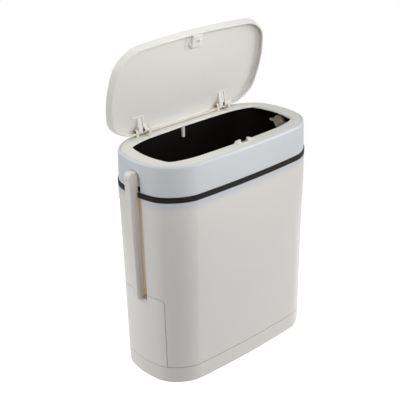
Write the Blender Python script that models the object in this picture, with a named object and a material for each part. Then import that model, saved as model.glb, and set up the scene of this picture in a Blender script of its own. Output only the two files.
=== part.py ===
# Slim waste bin with a spring lid and a brush stowed in its left end.
# Metres, +Z up, X along the long side, -Y is the front, the origin is the middle of the underside.

import math
from collections import namedtuple

import bmesh
import bpy
import numpy as np
from mathutils import Vector

mm = 0.001

# Plan outlines: a rounded rectangle with elliptical corners, whose sides bow outward.
# A bow share is how far a side draws in at its ends, as a share of its half width.
Plan = namedtuple("Plan", "half_length half_width corner_x corner_y side_bow_share end_bow_share")

band_half_length = 150.0 * mm
band_half_width = 75.4 * mm
base_draw_x = 3.3 * mm
base_draw_y = 3.1 * mm
base_half_length = band_half_length - base_draw_x
base_half_width = band_half_width - base_draw_y
base_corner_x = 37.2 * mm
base_corner_y = 37.6 * mm
band_corner_x = 40.8 * mm
band_corner_y = 40.0 * mm
wall_side_bow_share = 0.079
wall_end_bow_share = 0.123
mouth_draw_x = 25.9 * mm
mouth_draw_y = 24.0 * mm
mouth_half_length = band_half_length - mouth_draw_x
mouth_half_width = band_half_width - mouth_draw_y
mouth_corner_x = 47.3 * mm
mouth_corner_y = 11.0 * mm
mouth_side_bow_share = 0.086
mouth_end_bow_share = 0.079
lid_draw_x = 5.7 * mm
lid_draw_y = 2.3 * mm
lid_half_length = band_half_length - lid_draw_x
lid_half_width = band_half_width - lid_draw_y
lid_corner_x = 34.2 * mm
lid_corner_y = 30.9 * mm
lid_side_bow_share = 0.088
lid_end_bow_share = 0.098
base_plan = Plan(base_half_length, base_half_width, base_corner_x, base_corner_y,
                 wall_side_bow_share, wall_end_bow_share)
wall_plan = Plan(band_half_length, band_half_width, band_corner_x, band_corner_y,
                 wall_side_bow_share, wall_end_bow_share)
mouth_plan = Plan(mouth_half_length, mouth_half_width, mouth_corner_x, mouth_corner_y,
                  mouth_side_bow_share, mouth_end_bow_share)
lid_plan = Plan(lid_half_length, lid_half_width, lid_corner_x, lid_corner_y,
                lid_side_bow_share, lid_end_bow_share)
corner_steps = 6
side_steps = 6
end_steps = 4

# Clearances
seat_gap = 0.3 * mm
running_gap = 0.5 * mm
overrun = 5.0 * mm

# Plinth
plinth_height = 25.3 * mm
plinth_wall = 2.5 * mm
plinth_floor = 3.0 * mm
plinth_chamfer = 1.0 * mm
seam_gap = 0.5 * mm
pad_radius = 8.0 * mm
pad_depth = 1.2 * mm
pad_inset_x = 42.7 * mm
pad_inset_y = 30.3 * mm
pad_place = (base_half_length - pad_inset_x, base_half_width - pad_inset_y)
plinth_screw_inset_x = 62.7 * mm
plinth_screw_y = 40.0 * mm
plinth_screw_place = (base_half_length - plinth_screw_inset_x, plinth_screw_y)
plinth_boss_radius = 5.6 * mm
plinth_shoulder = 12.0 * mm
screw_head_radius = 3.5 * mm
screw_head_height = 2.6 * mm
screw_shaft_radius = 1.7 * mm

# Outer shell, with a bay for the brush and a channel for its handle in the left end
shell_wall = 2.5 * mm
shell_floor = 3.0 * mm
shell_top = 286.2 * mm
cover_inset = 32.6 * mm
cover_half_width = band_half_width - cover_inset
cover_overlap = 7.6 * mm
cover_corner = 6.0 * mm
cover_wall = 2.5 * mm
cover_gap = 0.8 * mm
bay_side_gap = 3.8 * mm
bay_half_width = cover_half_width - bay_side_gap
bay_depth = 74.0 * mm
bay_back = bay_depth - band_half_length
bay_floor = 30.0 * mm
bay_headroom = 12.5 * mm
bay_roof_thickness = 4.0 * mm
bay_lintel = 1.4 * mm
channel_half_width = 17.5 * mm
channel_depth = 14.0 * mm
channel_back = channel_depth - band_half_length
channel_top = 323.0 * mm
channel_wall = 2.3 * mm
channel_edge = 2.0 * mm

# Inner bucket, whose flange is the dark band
flange_height = 7.2 * mm
flange_proud = 0.2 * mm
bucket_wall = 1.8 * mm
bucket_floor_gap = 3.2 * mm
bucket_floor = 2.4 * mm
bucket_foot_inset = 12.0 * mm
bucket_foot_height = 8.0 * mm
bucket_knee_inset = 10.0 * mm
bucket_neck_inset = 3.3 * mm
bucket_rim_inset = 5.2 * mm
bucket_top = 329.5 * mm
bucket_clearance = 1.0 * mm

# Collar
collar_foot_inset = 1.1 * mm
collar_top_inset = 2.3 * mm
collar_wall = 2.2 * mm
collar_round = 3.0 * mm
collar_top = 337.4 * mm
ledge_inset = 12.0 * mm
ledge_thickness = 2.0 * mm
frame_inset = 6.5 * mm
frame_screw_inset = 9.2 * mm
frame_screw_x = 58.0 * mm
frame_screw_radius = 1.2 * mm
frame_screw_head = 2.2 * mm
frame_screw_head_height = 1.9 * mm

# Top frame: the rim round the mouth
rim_top = 337.7 * mm
rim_thickness = 2.8 * mm
mouth_round = 2.0 * mm
mouth_soft = 4.0 * mm

# Hinge
hinge_inset = 9.2 * mm
hinge_y = lid_half_width - hinge_inset
hinge_z = 344.4 * mm
open_angle = math.radians(76.5)
pin_radius = 2.0 * mm
pin_hole_radius = 2.3 * mm
boss_inset = 57.3 * mm
boss_length = 18.0 * mm
boss_end = lid_half_length - boss_inset
boss_start = boss_end - boss_length
spring_slot_inset = 6.6 * mm
spring_slot_width = 4.2 * mm
spring_slot_start = boss_start + spring_slot_inset
spring_slot_end = spring_slot_start + spring_slot_width
boss_reach = 20.0 * mm
boss_heel = 5.5 * mm
boss_radius = 4.0 * mm
lug_gap = 0.4 * mm
lug_thickness = 4.0 * mm
lug_radius = 3.4 * mm
lug_sink = 0.8 * mm
lug_root_back = 1.4 * mm
hinge_pocket_front = 6.0 * mm
slit_width = 1.4 * mm
slit_reach = 13.1 * mm
slit_heel = 1.9 * mm
slit_front = hinge_y - slit_reach
slit_back = hinge_y - slit_heel
spring_wire = 0.7 * mm
spring_coil_radius = 2.9 * mm
spring_pitch = 1.15 * mm
spring_turns = 2
spring_leg_up = 14.0 * mm
spring_leg_down = 11.0 * mm
spring_leg_slope = math.radians(35.0)
rim_pad_size = (18.0 * mm, 5.0 * mm)
rim_pad_inset_x = 102.3 * mm
rim_pad_inset_y = 9.1 * mm
rim_pad_place = (lid_half_length - rim_pad_inset_x, lid_half_width - rim_pad_inset_y)
rim_pad_pocket = 1.2 * mm
rim_pad_proud = 0.2 * mm
lid_stop_gap = 0.9 * mm

# Lid: a shallow tray, given as it lies closed
lid_face = 351.1 * mm
lid_lip = 340.7 * mm
lid_lip_inset = 2.7 * mm
lid_wall = 2.2 * mm
lid_plate = 2.8 * mm
lid_round = 1.5 * mm
lid_inner_round = 1.6 * mm
lid_crown = 0.9 * mm
lid_crown_inset = 45.0 * mm
lid_centre_y = 0.1 * mm

# Latch: a housing on the front rim, a slider on a spring below it, and the lid's hook
latch_centre = 1.0 * mm
latch_slot_half = 6.5 * mm
latch_slot_inset = 13.4 * mm
latch_slot_depth = 6.4 * mm
latch_slot_front = latch_slot_inset - band_half_width
latch_slot_back = latch_slot_front + latch_slot_depth
housing_left = -16.0 * mm
housing_right = 17.0 * mm
housing_ramp = 4.0 * mm
housing_inset = 11.4 * mm
housing_depth = 11.0 * mm
housing_front = housing_inset - band_half_width
housing_back = housing_front + housing_depth
housing_height = 7.0 * mm
housing_round = 1.2 * mm
pocket_wall = 2.0 * mm
pocket_floor = 2.0 * mm
pocket_depth = 19.0 * mm
slider_height = 7.5 * mm
slider_top = 336.0 * mm
latch_wire = 0.6 * mm
latch_coil_radius = 2.1 * mm
latch_turns = 5
hook_half_width = 5.5 * mm
hook_slot_gap = 1.1 * mm
hook_thickness = 2.6 * mm
hook_barb = 2.0 * mm
hook_barb_height = 2.4 * mm
hook_depth = 8.0 * mm
hook_plate_thickness = 1.6 * mm
hook_plate_half = 12.0 * mm
hook_plate_back = 9.0 * mm
hook_screw_radius = 1.1 * mm
hook_screw_head = 2.0 * mm
hook_screw_length = 3.4 * mm
hook_screw_spread = 8.6 * mm

# Bag clips and the bag peg
clip_drop = 11.8 * mm
clip_disc_radius = 10.2 * mm
clip_arm = 19.0 * mm
clip_arm_half = 1.75 * mm
clip_thickness = 4.0 * mm
clip_right_inset = 12.5 * mm
clip_left_inset = 25.8 * mm
clip_right_x = band_half_length - clip_right_inset
clip_left_x = clip_left_inset - band_half_length
clip_bore_radius = 2.8 * mm
clip_pin_radius = 2.4 * mm
clip_pin_head = 4.0 * mm
clip_pin_head_height = 1.2 * mm
peg_half_width = 2.4 * mm
peg_thickness = 3.0 * mm
peg_bottom = 312.0 * mm
peg_wall_gap = 0.4 * mm

# Brush
bar_half_width = 5.7 * mm
bar_proud = 10.2 * mm
bar_depth = 14.0 * mm
bar_outer = -band_half_length - bar_proud
bar_inner = bar_outer + bar_depth
bar_top = 322.0 * mm
bar_foot_lean = 4.5 * mm
bar_foot_depth = 12.5 * mm
bar_foot_outer = bar_outer + bar_foot_lean
bar_foot_inner = bar_foot_outer + bar_foot_depth
bar_round = 7.0 * mm
bar_heel_round = 3.0 * mm
bar_foot_rise = 0.9 * mm
bar_root_drop = 4.3 * mm
bar_hole_height = 312.0 * mm
bar_hole_radius = 1.5 * mm
bar_hole_depth = 2.0 * mm
neck_rise = 2.0 * mm
neck_radius = 4.5 * mm
neck_bend = 12.0 * mm
head_inset = 41.0 * mm
head_x = head_inset - band_half_length
head_floor_gap = 16.0 * mm
head_fins = 6
head_fin_pitch = 8.0 * mm
head_core_radius = 12.0 * mm
head_fin_radius = 23.0 * mm
head_fin_edge = 2.2 * mm
cup_inset = 10.0 * mm
cup_front = cup_inset - band_half_length
cup_side_gap = 3.0 * mm
cup_half_width = bay_half_width - cup_side_gap
cup_height = 11.0 * mm
cup_wall = 1.5 * mm
cup_corner = 8.0 * mm

# Heights that follow from the sizes above
shell_bottom = plinth_height + seam_gap
shell_floor_top = shell_bottom + shell_floor
flange_bottom = shell_top + seat_gap
flange_top = flange_bottom + flange_height
collar_bottom = flange_top + seat_gap
rim_bottom = rim_top - rim_thickness
ledge_top = rim_bottom - seat_gap
ledge_bottom = ledge_top - ledge_thickness
lid_inner = lid_face - lid_plate
stop_height = rim_top + lid_stop_gap
clip_height = bucket_top - clip_drop
head_bottom = bay_floor + head_floor_gap
head_top = head_bottom + head_fins * head_fin_pitch
neck_height = head_top + neck_bend + neck_rise
bay_roof = neck_height + neck_radius + bay_headroom
channel_floor = bay_roof + bay_roof_thickness
cover_top = channel_floor + cover_overlap
hook_reach = hinge_y - latch_slot_back + hook_slot_gap
slot_x = (latch_centre - latch_slot_half, latch_centre + latch_slot_half)
slot_y = (latch_slot_front, latch_slot_back)
window_half_width = cover_half_width + cover_gap
window_top = cover_top + cover_gap

finishes = {
    "white_shell": ("#E4DFD5", 0.42, 0.0),
    "white_rim": ("#E9E4D6", 0.38, 0.0),
    "black_bucket": ("#1B1917", 0.5, 0.0),
    "beige_clip": ("#CDBF9F", 0.45, 0.0),
    "grey_latch": ("#8E9092", 0.45, 0.0),
    "steel": ("#B9BBBD", 0.3, 1.0),
    "soft_grey": ("#6E7073", 0.8, 0.0),
    "soft_white": ("#D9D6CE", 0.75, 0.0),
}


# Start with an empty scene
def clear_scene():
    for thing in list(bpy.data.objects):
        bpy.data.objects.remove(thing, do_unlink=True)


# sRGB hex to linear
def linear(hex_colour):
    channels = [int(hex_colour[i:i + 2], 16) / 255 for i in (1, 3, 5)]
    return [c / 12.92 if c <= 0.04045 else ((c + 0.055) / 1.055) ** 2.4 for c in channels]


def make_material(name, finish):
    colour, roughness, metallic = finishes[finish]
    material = bpy.data.materials.new(name)
    material.use_nodes = True
    shader = material.node_tree.nodes["Principled BSDF"]
    shader.inputs["Base Color"].default_value = (*linear(colour), 1)
    shader.inputs["Roughness"].default_value = roughness
    shader.inputs["Metallic"].default_value = metallic
    return material


def add_empty(name, place, turn_x=0.0, parent=None):
    empty = bpy.data.objects.new(name, None)
    bpy.context.scene.collection.objects.link(empty)
    empty.location = place
    empty.rotation_euler.x = turn_x
    if parent is not None:
        empty.parent = parent
        empty.location = Vector(place) - parent.location
    return empty


# A mesh in world coordinates keeps them, while its parent empty stands on the joint's axis
def add_object(name, mesh, parent=None, local=False):
    thing = bpy.data.objects.new(name, mesh)
    bpy.context.scene.collection.objects.link(thing)
    if parent is not None:
        thing.parent = parent
        if not local:
            bpy.context.view_layer.update()
            thing.matrix_parent_inverse = parent.matrix_world.inverted()
    return thing


def add_node(name, mesh, finish, parent=None, local=False, sharp=math.radians(32)):
    node = add_object(name, mesh, parent, local)
    mesh.materials.append(make_material(name + "_" + finish, finish))
    mesh.shade_smooth()
    mesh.set_sharp_from_angle(angle=sharp)
    return node


# Like pieces, each its own node: name_1, name_2 and so on
def add_numbered(name, meshes, finish, parent=None, local=False):
    for number, mesh in enumerate(meshes, start=1):
        add_node(f"{name}_{number}", mesh, finish, parent, local)


def add_tool(name, mesh, parent=None, local=False):
    tool = add_object(name, mesh, parent, local)
    tool.hide_render = True
    tool.display_type = "WIRE"
    return tool


def combine(target, tool, operation="DIFFERENCE", solver="EXACT"):
    modifier = target.modifiers.new(tool.name, "BOOLEAN")
    modifier.operation = operation
    modifier.solver = solver
    modifier.object = tool


# Meshes
def mesh_from(name, bm):
    bmesh.ops.triangulate(bm, faces=list(bm.faces))
    bmesh.ops.recalc_face_normals(bm, faces=list(bm.faces))
    mesh = bpy.data.meshes.new(name)
    bm.to_mesh(mesh)
    bm.free()
    return mesh


# One outline at height z, drawn in by an inset: corner arcs joined by straight runs, then bowed
def outline(plan, inset, z, centre_y=0.0):
    half_length = plan.half_length - inset
    half_width = plan.half_width - inset
    corner_x = plan.corner_x - inset
    corner_y = plan.corner_y - inset
    turns = np.linspace(0, math.pi / 2, corner_steps + 1)
    arcs = []
    for quarter, (sx, sy) in enumerate(((1, 1), (-1, 1), (-1, -1), (1, -1))):
        angles = turns + quarter * math.pi / 2
        x = sx * (half_length - corner_x) + corner_x * np.cos(angles)
        y = sy * (half_width - corner_y) + corner_y * np.sin(angles)
        arcs.append(np.column_stack((x, y)))
    points = []
    for quarter, arc in enumerate(arcs):
        points.append(arc)
        steps = side_steps if quarter % 2 == 0 else end_steps
        run = np.linspace(arc[-1], arcs[(quarter + 1) % 4][0], steps + 1)
        points.append(run[1:-1])
    x, y = np.vstack(points).T
    bowed_x = x * (1 - plan.end_bow_share * (y / half_width) ** 2)
    bowed_y = y * (1 - plan.side_bow_share * (x / half_length) ** 2)
    return np.column_stack((bowed_x, bowed_y + centre_y, np.full_like(x, z)))


# The tapered wall's plan at a height, by straight lines from the base to the band
def plan_at(z):
    share = min(z / flange_bottom, 1.0)
    return Plan(*(low + (high - low) * share for low, high in zip(base_plan, wall_plan)))


def wall_ring(inset, z):
    return outline(plan_at(z), inset, z)


# A closed solid through rings of equal count: capped at both ends, or closed on itself
def loft(name, rings, loop=False):
    bm = bmesh.new()
    rows = [[bm.verts.new(point) for point in ring] for ring in rings]
    count = len(rows[0])
    pairs = list(zip(rows, rows[1:]))
    if loop:
        pairs.append((rows[-1], rows[0]))
    for low, high in pairs:
        for i in range(count):
            j = (i + 1) % count
            bm.faces.new((low[i], low[j], high[j], high[i]))
    if not loop:
        bm.faces.new(rows[0][::-1])
        bm.faces.new(rows[-1])
    return mesh_from(name, bm)


# An outline in the plane square to an axis, carried from start to end along it
def prism(name, profile, axis, start, end):
    def place(u, v, w):
        return {"X": (w, u, v), "Y": (u, w, v), "Z": (u, v, w)}[axis]
    return loft(name, [[place(u, v, w) for u, v in profile] for w in (start, end)])


def box(name, x, y, z):
    return prism(name, [(x[0], y[0]), (x[1], y[0]), (x[1], y[1]), (x[0], y[1])], "Z", *z)


def arc(centre, radius, start, end, steps):
    angles = np.radians(np.linspace(start, end, steps + 1))
    return [(centre[0] + radius * math.cos(a), centre[1] + radius * math.sin(a)) for a in angles]


def round_rectangle(u, v, radius, steps=4):
    corners = ((u[1] - radius, v[1] - radius), (u[0] + radius, v[1] - radius),
               (u[0] + radius, v[0] + radius), (u[1] - radius, v[0] + radius))
    points = []
    for quarter, centre in enumerate(corners):
        points += arc(centre, radius, 90 * quarter, 90 * quarter + 90, steps)
    return points


# A turned solid: radius and place pairs along an axis through a centre
def turned(name, stations, axis, centre=(0.0, 0.0), sides=24):
    rings = []
    for radius, w in stations:
        ring = []
        for i in range(sides):
            angle = 2 * math.pi * i / sides
            u = centre[0] + radius * math.cos(angle)
            v = centre[1] + radius * math.sin(angle)
            ring.append({"X": (w, u, v), "Y": (u, w, v), "Z": (u, v, w)}[axis])
        rings.append(ring)
    return loft(name, rings)


# Several separate closed solids in one mesh
def joined(name, meshes):
    bm = bmesh.new()
    for mesh in meshes:
        bm.from_mesh(mesh)
        bpy.data.meshes.remove(mesh)
    return mesh_from(name, bm)


def screw_mesh(name, centre, head_radius, head_bottom, head_height, shaft_radius, tip):
    shoulder = head_bottom + head_height
    return turned(name, [(head_radius, head_bottom), (head_radius, shoulder),
                         (shaft_radius, shoulder), (shaft_radius, tip)], "Z", centre, 12)


# A tube along points, as a curve turned into a mesh
def tube_mesh(name, points, diameter):
    curve = bpy.data.curves.new(name, "CURVE")
    curve.dimensions = "3D"
    curve.bevel_depth = diameter / 2
    curve.bevel_resolution = 1
    curve.use_fill_caps = True
    spline = curve.splines.new("POLY")
    spline.points.add(len(points) - 1)
    for spot, point in zip(spline.points, points):
        spot.co = (*point, 1)
    carrier = bpy.data.objects.new(name, curve)
    bpy.context.scene.collection.objects.link(carrier)
    bpy.context.view_layer.update()
    mesh = bpy.data.meshes.new_from_object(carrier.evaluated_get(bpy.context.evaluated_depsgraph_get()))
    bpy.data.objects.remove(carrier)
    bpy.data.curves.remove(curve)
    bm = bmesh.new()
    bm.from_mesh(mesh)
    bmesh.ops.remove_doubles(bm, verts=list(bm.verts), dist=diameter / 100)
    bpy.data.meshes.remove(mesh)
    return mesh_from(name, bm)


# The least gap of a coiled tube to itself, over points at least half a turn apart
def report_gap(name, points, diameter, points_per_turn):
    places = np.array(points)
    distances = np.linalg.norm(places[:, None] - places[None, :], axis=2)
    apart = np.abs(np.subtract.outer(np.arange(len(places)), np.arange(len(places))))
    gap = distances[apart >= points_per_turn // 2].min() - diameter
    print(name, "least gap to itself", round(gap / mm, 2), "mm")


# Body pieces
def channel_tool(name, z):
    reach = bar_outer - overrun
    half = channel_half_width
    edge = channel_edge
    profile = ([(reach, -half)] + arc((channel_back - edge, -half + edge), edge, -90, 0, 3)
               + arc((channel_back - edge, half - edge), edge, 0, 90, 3) + [(reach, half)])
    return add_tool(name, prism(name, profile, "Z", *z))


# The space behind the left end, grown by a margin, that the bay and the channel take up
def left_end_tools(name, margin, channel_z):
    reach = bar_outer - overrun
    bay_edge = window_half_width + shell_wall + margin
    bay = box(name + "_bay", (reach, bay_back + shell_wall + margin), (-bay_edge, bay_edge),
              (-overrun, window_top + bay_lintel + margin))
    edge = channel_half_width + shell_wall + margin
    channel = box(name + "_channel", (reach, channel_back + channel_wall + margin), (-edge, edge), channel_z)
    return add_tool(name + "_bay", bay), add_tool(name + "_channel", channel)


def window_profile(half_width, top, bottom):
    corner = cover_corner
    right = arc((half_width - corner, top - corner), corner, 0, 90, 5)
    left = arc((-half_width + corner, top - corner), corner, 90, 180, 5)
    return [(half_width, bottom)] + right + left + [(-half_width, bottom)]


def make_plinth():
    plan = base_plan
    rings = [outline(plan, plinth_chamfer, 0.0), outline(plan, 0.0, plinth_chamfer),
             wall_ring(0.0, plinth_height), wall_ring(plinth_wall, plinth_height),
             outline(plan, plinth_wall, plinth_floor)]
    plinth = add_node("base_plinth", loft("base_plinth", rings), "white_shell")
    bosses, bores, screws, pockets, pads = [], [], [], [], []
    for sx in (-1, 1):
        for sy in (-1, 1):
            place = (sx * plinth_screw_place[0], sy * plinth_screw_place[1])
            boss_foot = plinth_floor / 2
            bosses.append(turned("boss", [(plinth_boss_radius, boss_foot),
                                          (plinth_boss_radius, plinth_height)], "Z", place, 18))
            wide = screw_head_radius + seat_gap
            narrow = screw_shaft_radius + seat_gap
            bores.append(turned("bore", [(wide, -overrun), (wide, plinth_shoulder),
                                         (narrow, plinth_shoulder), (narrow, plinth_height + overrun)],
                                "Z", place, 16))
            screws.append(screw_mesh("screw", place, screw_head_radius,
                                     plinth_shoulder - seat_gap - screw_head_height, screw_head_height,
                                     screw_shaft_radius, shell_floor_top - 2 * running_gap))
            pad = (sx * pad_place[0], sy * pad_place[1])
            pockets.append(turned("pocket", [(pad_radius + seat_gap, -overrun),
                                             (pad_radius + seat_gap, pad_depth)], "Z", pad))
            pads.append(turned("pad", [(pad_radius, 0.0), (pad_radius, pad_depth - seat_gap)], "Z", pad))
    combine(plinth, add_tool("plinth_bosses", joined("plinth_bosses", bosses)), "UNION")
    combine(plinth, add_tool("plinth_bores", joined("plinth_bores", bores)))
    combine(plinth, add_tool("plinth_pockets", joined("plinth_pockets", pockets)))
    add_numbered("plinth_screw", screws, "steel")
    add_numbered("base_pad", pads, "soft_grey")


def make_shell():
    shell = add_node("outer_shell", loft("outer_shell", [wall_ring(0.0, shell_bottom),
                                                         wall_ring(0.0, shell_top)]), "white_shell")
    inside = add_tool("shell_inside", loft("shell_inside", [
        wall_ring(shell_wall, shell_floor_top), wall_ring(shell_wall, shell_top + overrun)]))
    bay, channel = left_end_tools("shell_left", 0.0, (bay_roof, shell_top + 2 * overrun))
    combine(inside, bay)
    combine(inside, channel)
    combine(shell, inside)
    pocket = add_tool("window_pocket", prism(
        "window_pocket", window_profile(window_half_width, window_top, shell_bottom - overrun),
        "X", bar_outer - overrun, bay_back - shell_wall))
    behind = add_tool("window_behind", loft("window_behind", [
        wall_ring(cover_wall + seat_gap, shell_bottom - 2 * overrun),
        wall_ring(cover_wall + seat_gap, shell_top)]))
    combine(pocket, behind)
    combine(shell, pocket)
    space = box("brush_bay", (bar_outer - overrun, bay_back), (-bay_half_width, bay_half_width),
                (bay_floor, bay_roof))
    combine(shell, add_tool("brush_bay", space))
    combine(shell, channel_tool("shell_channel", (channel_floor, shell_top + overrun)))
    bores = []
    for sx in (-1, 1):
        for sy in (-1, 1):
            radius = screw_shaft_radius + seat_gap
            place = (sx * plinth_screw_place[0], sy * plinth_screw_place[1])
            bores.append(turned("bore", [(radius, shell_bottom - overrun),
                                         (radius, shell_floor_top - running_gap)], "Z", place, 16))
    combine(shell, add_tool("shell_bores", joined("shell_bores", bores)))


def make_drip_cup():
    x = (cup_front, bay_back - running_gap)
    y = (-cup_half_width, cup_half_width)
    bottom = bay_floor + seat_gap
    top = bottom + cup_height
    outer = [(px, py) for px, py in round_rectangle(x, y, cup_corner)]
    inner = round_rectangle((x[0] + cup_wall, x[1] - cup_wall), (y[0] + cup_wall, y[1] - cup_wall),
                            cup_corner - cup_wall)
    rings = [[(px, py, z) for px, py in ring] for ring, z in
             ((outer, bottom), (outer, top), (inner, top), (inner, bottom + cup_wall))]
    add_node("drip_cup", loft("drip_cup", rings), "soft_grey")


# Bucket pieces
def make_bucket(body):
    foot = shell_floor_top + bucket_floor_gap
    knee = foot + bucket_foot_height
    bucket = add_node("inner_bucket", loft("inner_bucket", [
        wall_ring(bucket_foot_inset, foot), wall_ring(bucket_knee_inset, knee),
        wall_ring(bucket_neck_inset, flange_bottom), wall_ring(-flange_proud, flange_bottom),
        wall_ring(-flange_proud, flange_top), wall_ring(bucket_rim_inset, flange_top),
        wall_ring(bucket_rim_inset, bucket_top)]), "black_bucket", body)
    inner_neck = bucket_rim_inset + bucket_wall
    inside = add_tool("bucket_inside", loft("bucket_inside", [
        wall_ring(bucket_foot_inset + bucket_wall, foot + bucket_floor),
        wall_ring(bucket_knee_inset + bucket_wall, knee + bucket_floor),
        wall_ring(inner_neck, flange_bottom), wall_ring(inner_neck, bucket_top + overrun)]), body)
    margin = bucket_clearance
    bay, channel = left_end_tools("bucket_step", margin, (0.0, flange_bottom))
    upper = box("bucket_notch", (bar_outer - overrun, channel_back + channel_wall + margin),
                (-channel_half_width - shell_wall - margin, channel_half_width + shell_wall + margin),
                (flange_top, bucket_top + overrun))
    combine(bucket, bay)
    combine(bucket, channel)
    combine(bucket, add_tool("bucket_notch", upper))
    combine(bucket, channel_tool("flange_notch", (flange_bottom - overrun, flange_top + overrun)))
    inner_bay, inner_channel = left_end_tools("bucket_fill", margin + bucket_wall,
                                              (0.0, bucket_top + 2 * overrun))
    combine(inside, inner_bay)
    combine(inside, inner_channel)
    combine(bucket, inside)


def inner_wall_x(side):
    if side < 0:
        return channel_back + channel_wall + bucket_clearance + bucket_wall
    return wall_plan.half_length - bucket_rim_inset - bucket_wall


# A clip is a disc with an arm to each side, which turns on a pin from the bucket's end wall
def make_clip(side, bucket_body, clip_body):
    word = "right" if side > 0 else "left"
    face = clip_right_x if side > 0 else clip_left_x
    near, far = face - side * clip_thickness, face
    lift = math.asin(clip_arm_half / clip_disc_radius)
    steps = 8
    outline_points = []
    for half in (0, 180):
        tip = (clip_arm - clip_arm_half) * (1 if half == 0 else -1)
        outline_points += arc((tip, 0.0), clip_arm_half, half - 90, half + 90, 4)
        outline_points += arc((0.0, 0.0), clip_disc_radius, half + math.degrees(lift),
                              half + 180 - math.degrees(lift), steps)
    profile = [(y, z + clip_height) for y, z in outline_points]
    clip = add_node("clip_" + word, prism("clip_" + word, profile, "X", near, far), "beige_clip", clip_body)
    bore = turned("bore", [(clip_bore_radius, near - side * overrun),
                           (clip_bore_radius, far + side * overrun)], "X", (0.0, clip_height))
    combine(clip, add_tool("clip_bore_" + word, bore))
    wall = inner_wall_x(side) - side * seat_gap
    head = near - side * seat_gap
    stations = [(clip_pin_head, head - side * clip_pin_head_height), (clip_pin_head, head),
                (clip_pin_radius, head), (clip_pin_radius, wall)]
    pin = turned("clip_pin_" + word, stations, "X", (0.0, clip_height), 16)
    add_node("clip_pin_" + word, pin, "white_shell", bucket_body)


# Collar pieces
def make_collar(body):
    turn_over = [(collar_top_inset + collar_round * (1 - math.cos(a)),
                  collar_top - collar_round * (1 - math.sin(a))) for a in np.radians([0, 22, 45, 68, 90])]
    outside = [(collar_foot_inset, collar_bottom)] + turn_over
    collar = add_node("collar_shell", loft("collar_shell", [
        outline(wall_plan, inset, z) for inset, z in outside]), "white_shell", body)
    seat = frame_inset - seat_gap
    steps = [(collar_foot_inset + collar_wall, collar_bottom - overrun),
             (collar_top_inset + collar_wall, ledge_bottom), (ledge_inset, ledge_bottom),
             (ledge_inset, ledge_top), (seat, ledge_top), (seat, collar_top + overrun)]
    inside = add_tool("collar_inside", loft("collar_inside", [
        outline(wall_plan, inset, z) for inset, z in steps]), body)
    edge = channel_half_width + shell_wall
    block = box("collar_channel_block", (bar_outer - overrun, channel_back + channel_wall), (-edge, edge),
                (flange_bottom, ledge_bottom + ledge_thickness / 2))
    combine(inside, add_tool("collar_channel_block", block))
    combine(collar, inside)
    combine(collar, channel_tool("collar_channel", (collar_bottom - overrun, channel_top)))
    holes = [turned("hole", [(frame_screw_radius + seat_gap, ledge_bottom - overrun),
                             (frame_screw_radius + seat_gap, ledge_top + overrun)], "Z", place, 12)
             for place in frame_screw_places()]
    back = peg_back()
    around = pocket_wall + running_gap
    through = (ledge_bottom - overrun, ledge_top + overrun)
    holes.append(box("cover_notch", (slot_x[0] - around, slot_x[1] + around),
                     (slot_y[0] - around, slot_y[1]), through))
    holes.append(box("peg_notch", (-peg_half_width - running_gap, peg_half_width + running_gap),
                     (back - peg_thickness - overrun, back + seat_gap), through))
    combine(collar, add_tool("collar_holes", joined("collar_holes", holes)))


# Four screws join the rim frame to the collar's ledge, on a line inset from the wall
def frame_screw_places():
    bow = 1 - wall_plan.side_bow_share * (frame_screw_x / wall_plan.half_length) ** 2
    y = (wall_plan.half_width - frame_screw_inset) * bow
    return [(sx * frame_screw_x, sy * y) for sx in (-1, 1) for sy in (-1, 1)]


def lug_mesh(start):
    foot = rim_top - lug_sink
    profile = ([(hinge_y + lug_root_back, foot)] + arc((hinge_y, hinge_z), lug_radius, -25, 180, 8)
               + [(hinge_y - lug_radius, foot)])
    return prism("lug", profile, "X", start, start + lug_thickness)


def make_top_frame(body):
    mouth = mouth_plan
    rings = [outline(wall_plan, frame_inset, rim_bottom), outline(wall_plan, frame_inset, rim_top),
             outline(mouth, -mouth_soft, rim_top),
             outline(mouth, -mouth_round / 2, rim_top - mouth_round / 4),
             outline(mouth, 0.0, rim_top - mouth_round), outline(mouth, 0.0, rim_bottom)]
    frame = add_node("top_frame", loft("top_frame", rings, loop=True), "white_rim", body)
    starts = [boss_start - lug_gap - lug_thickness, boss_end + lug_gap]
    lugs = [lug_mesh(start) for start in starts] + [lug_mesh(-start - lug_thickness) for start in starts]
    combine(frame, add_tool("hinge_lugs", joined("hinge_lugs", lugs)), "UNION")
    reach = boss_end + lug_gap + lug_thickness + overrun
    bore = turned("lug_bore", [(pin_hole_radius, -reach), (pin_hole_radius, reach)], "X", (hinge_y, hinge_z))
    combine(frame, add_tool("lug_bore", bore))
    cuts = []
    for side in (-1, 1):
        slit = side * spring_leg_x()
        cuts.append(box("slit", (slit - slit_width / 2, slit + slit_width / 2), (slit_front, slit_back),
                        (rim_bottom - overrun, rim_top + overrun)))
        half_x = rim_pad_size[0] / 2 + seat_gap
        half_y = rim_pad_size[1] / 2 + seat_gap
        x, y = side * rim_pad_place[0], rim_pad_place[1]
        cuts.append(box("pad", (x - half_x, x + half_x), (y - half_y, y + half_y),
                        (rim_top - rim_pad_pocket, rim_top + overrun)))
    cuts.append(box("slot", slot_x, slot_y, (rim_bottom - overrun, rim_top + overrun)))
    for place in frame_screw_places():
        radius = frame_screw_radius + seat_gap
        cuts.append(turned("hole", [(radius, rim_bottom - overrun), (radius, rim_top - running_gap)],
                           "Z", place, 12))
    combine(frame, add_tool("frame_cuts", joined("frame_cuts", cuts)))
    head_top = ledge_bottom - seat_gap
    screws = [screw_mesh("screw", place, frame_screw_head, head_top - frame_screw_head_height,
                         frame_screw_head_height, frame_screw_radius, rim_top - 2 * running_gap)
              for place in frame_screw_places()]
    add_numbered("frame_screw", screws, "steel", body)


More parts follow.
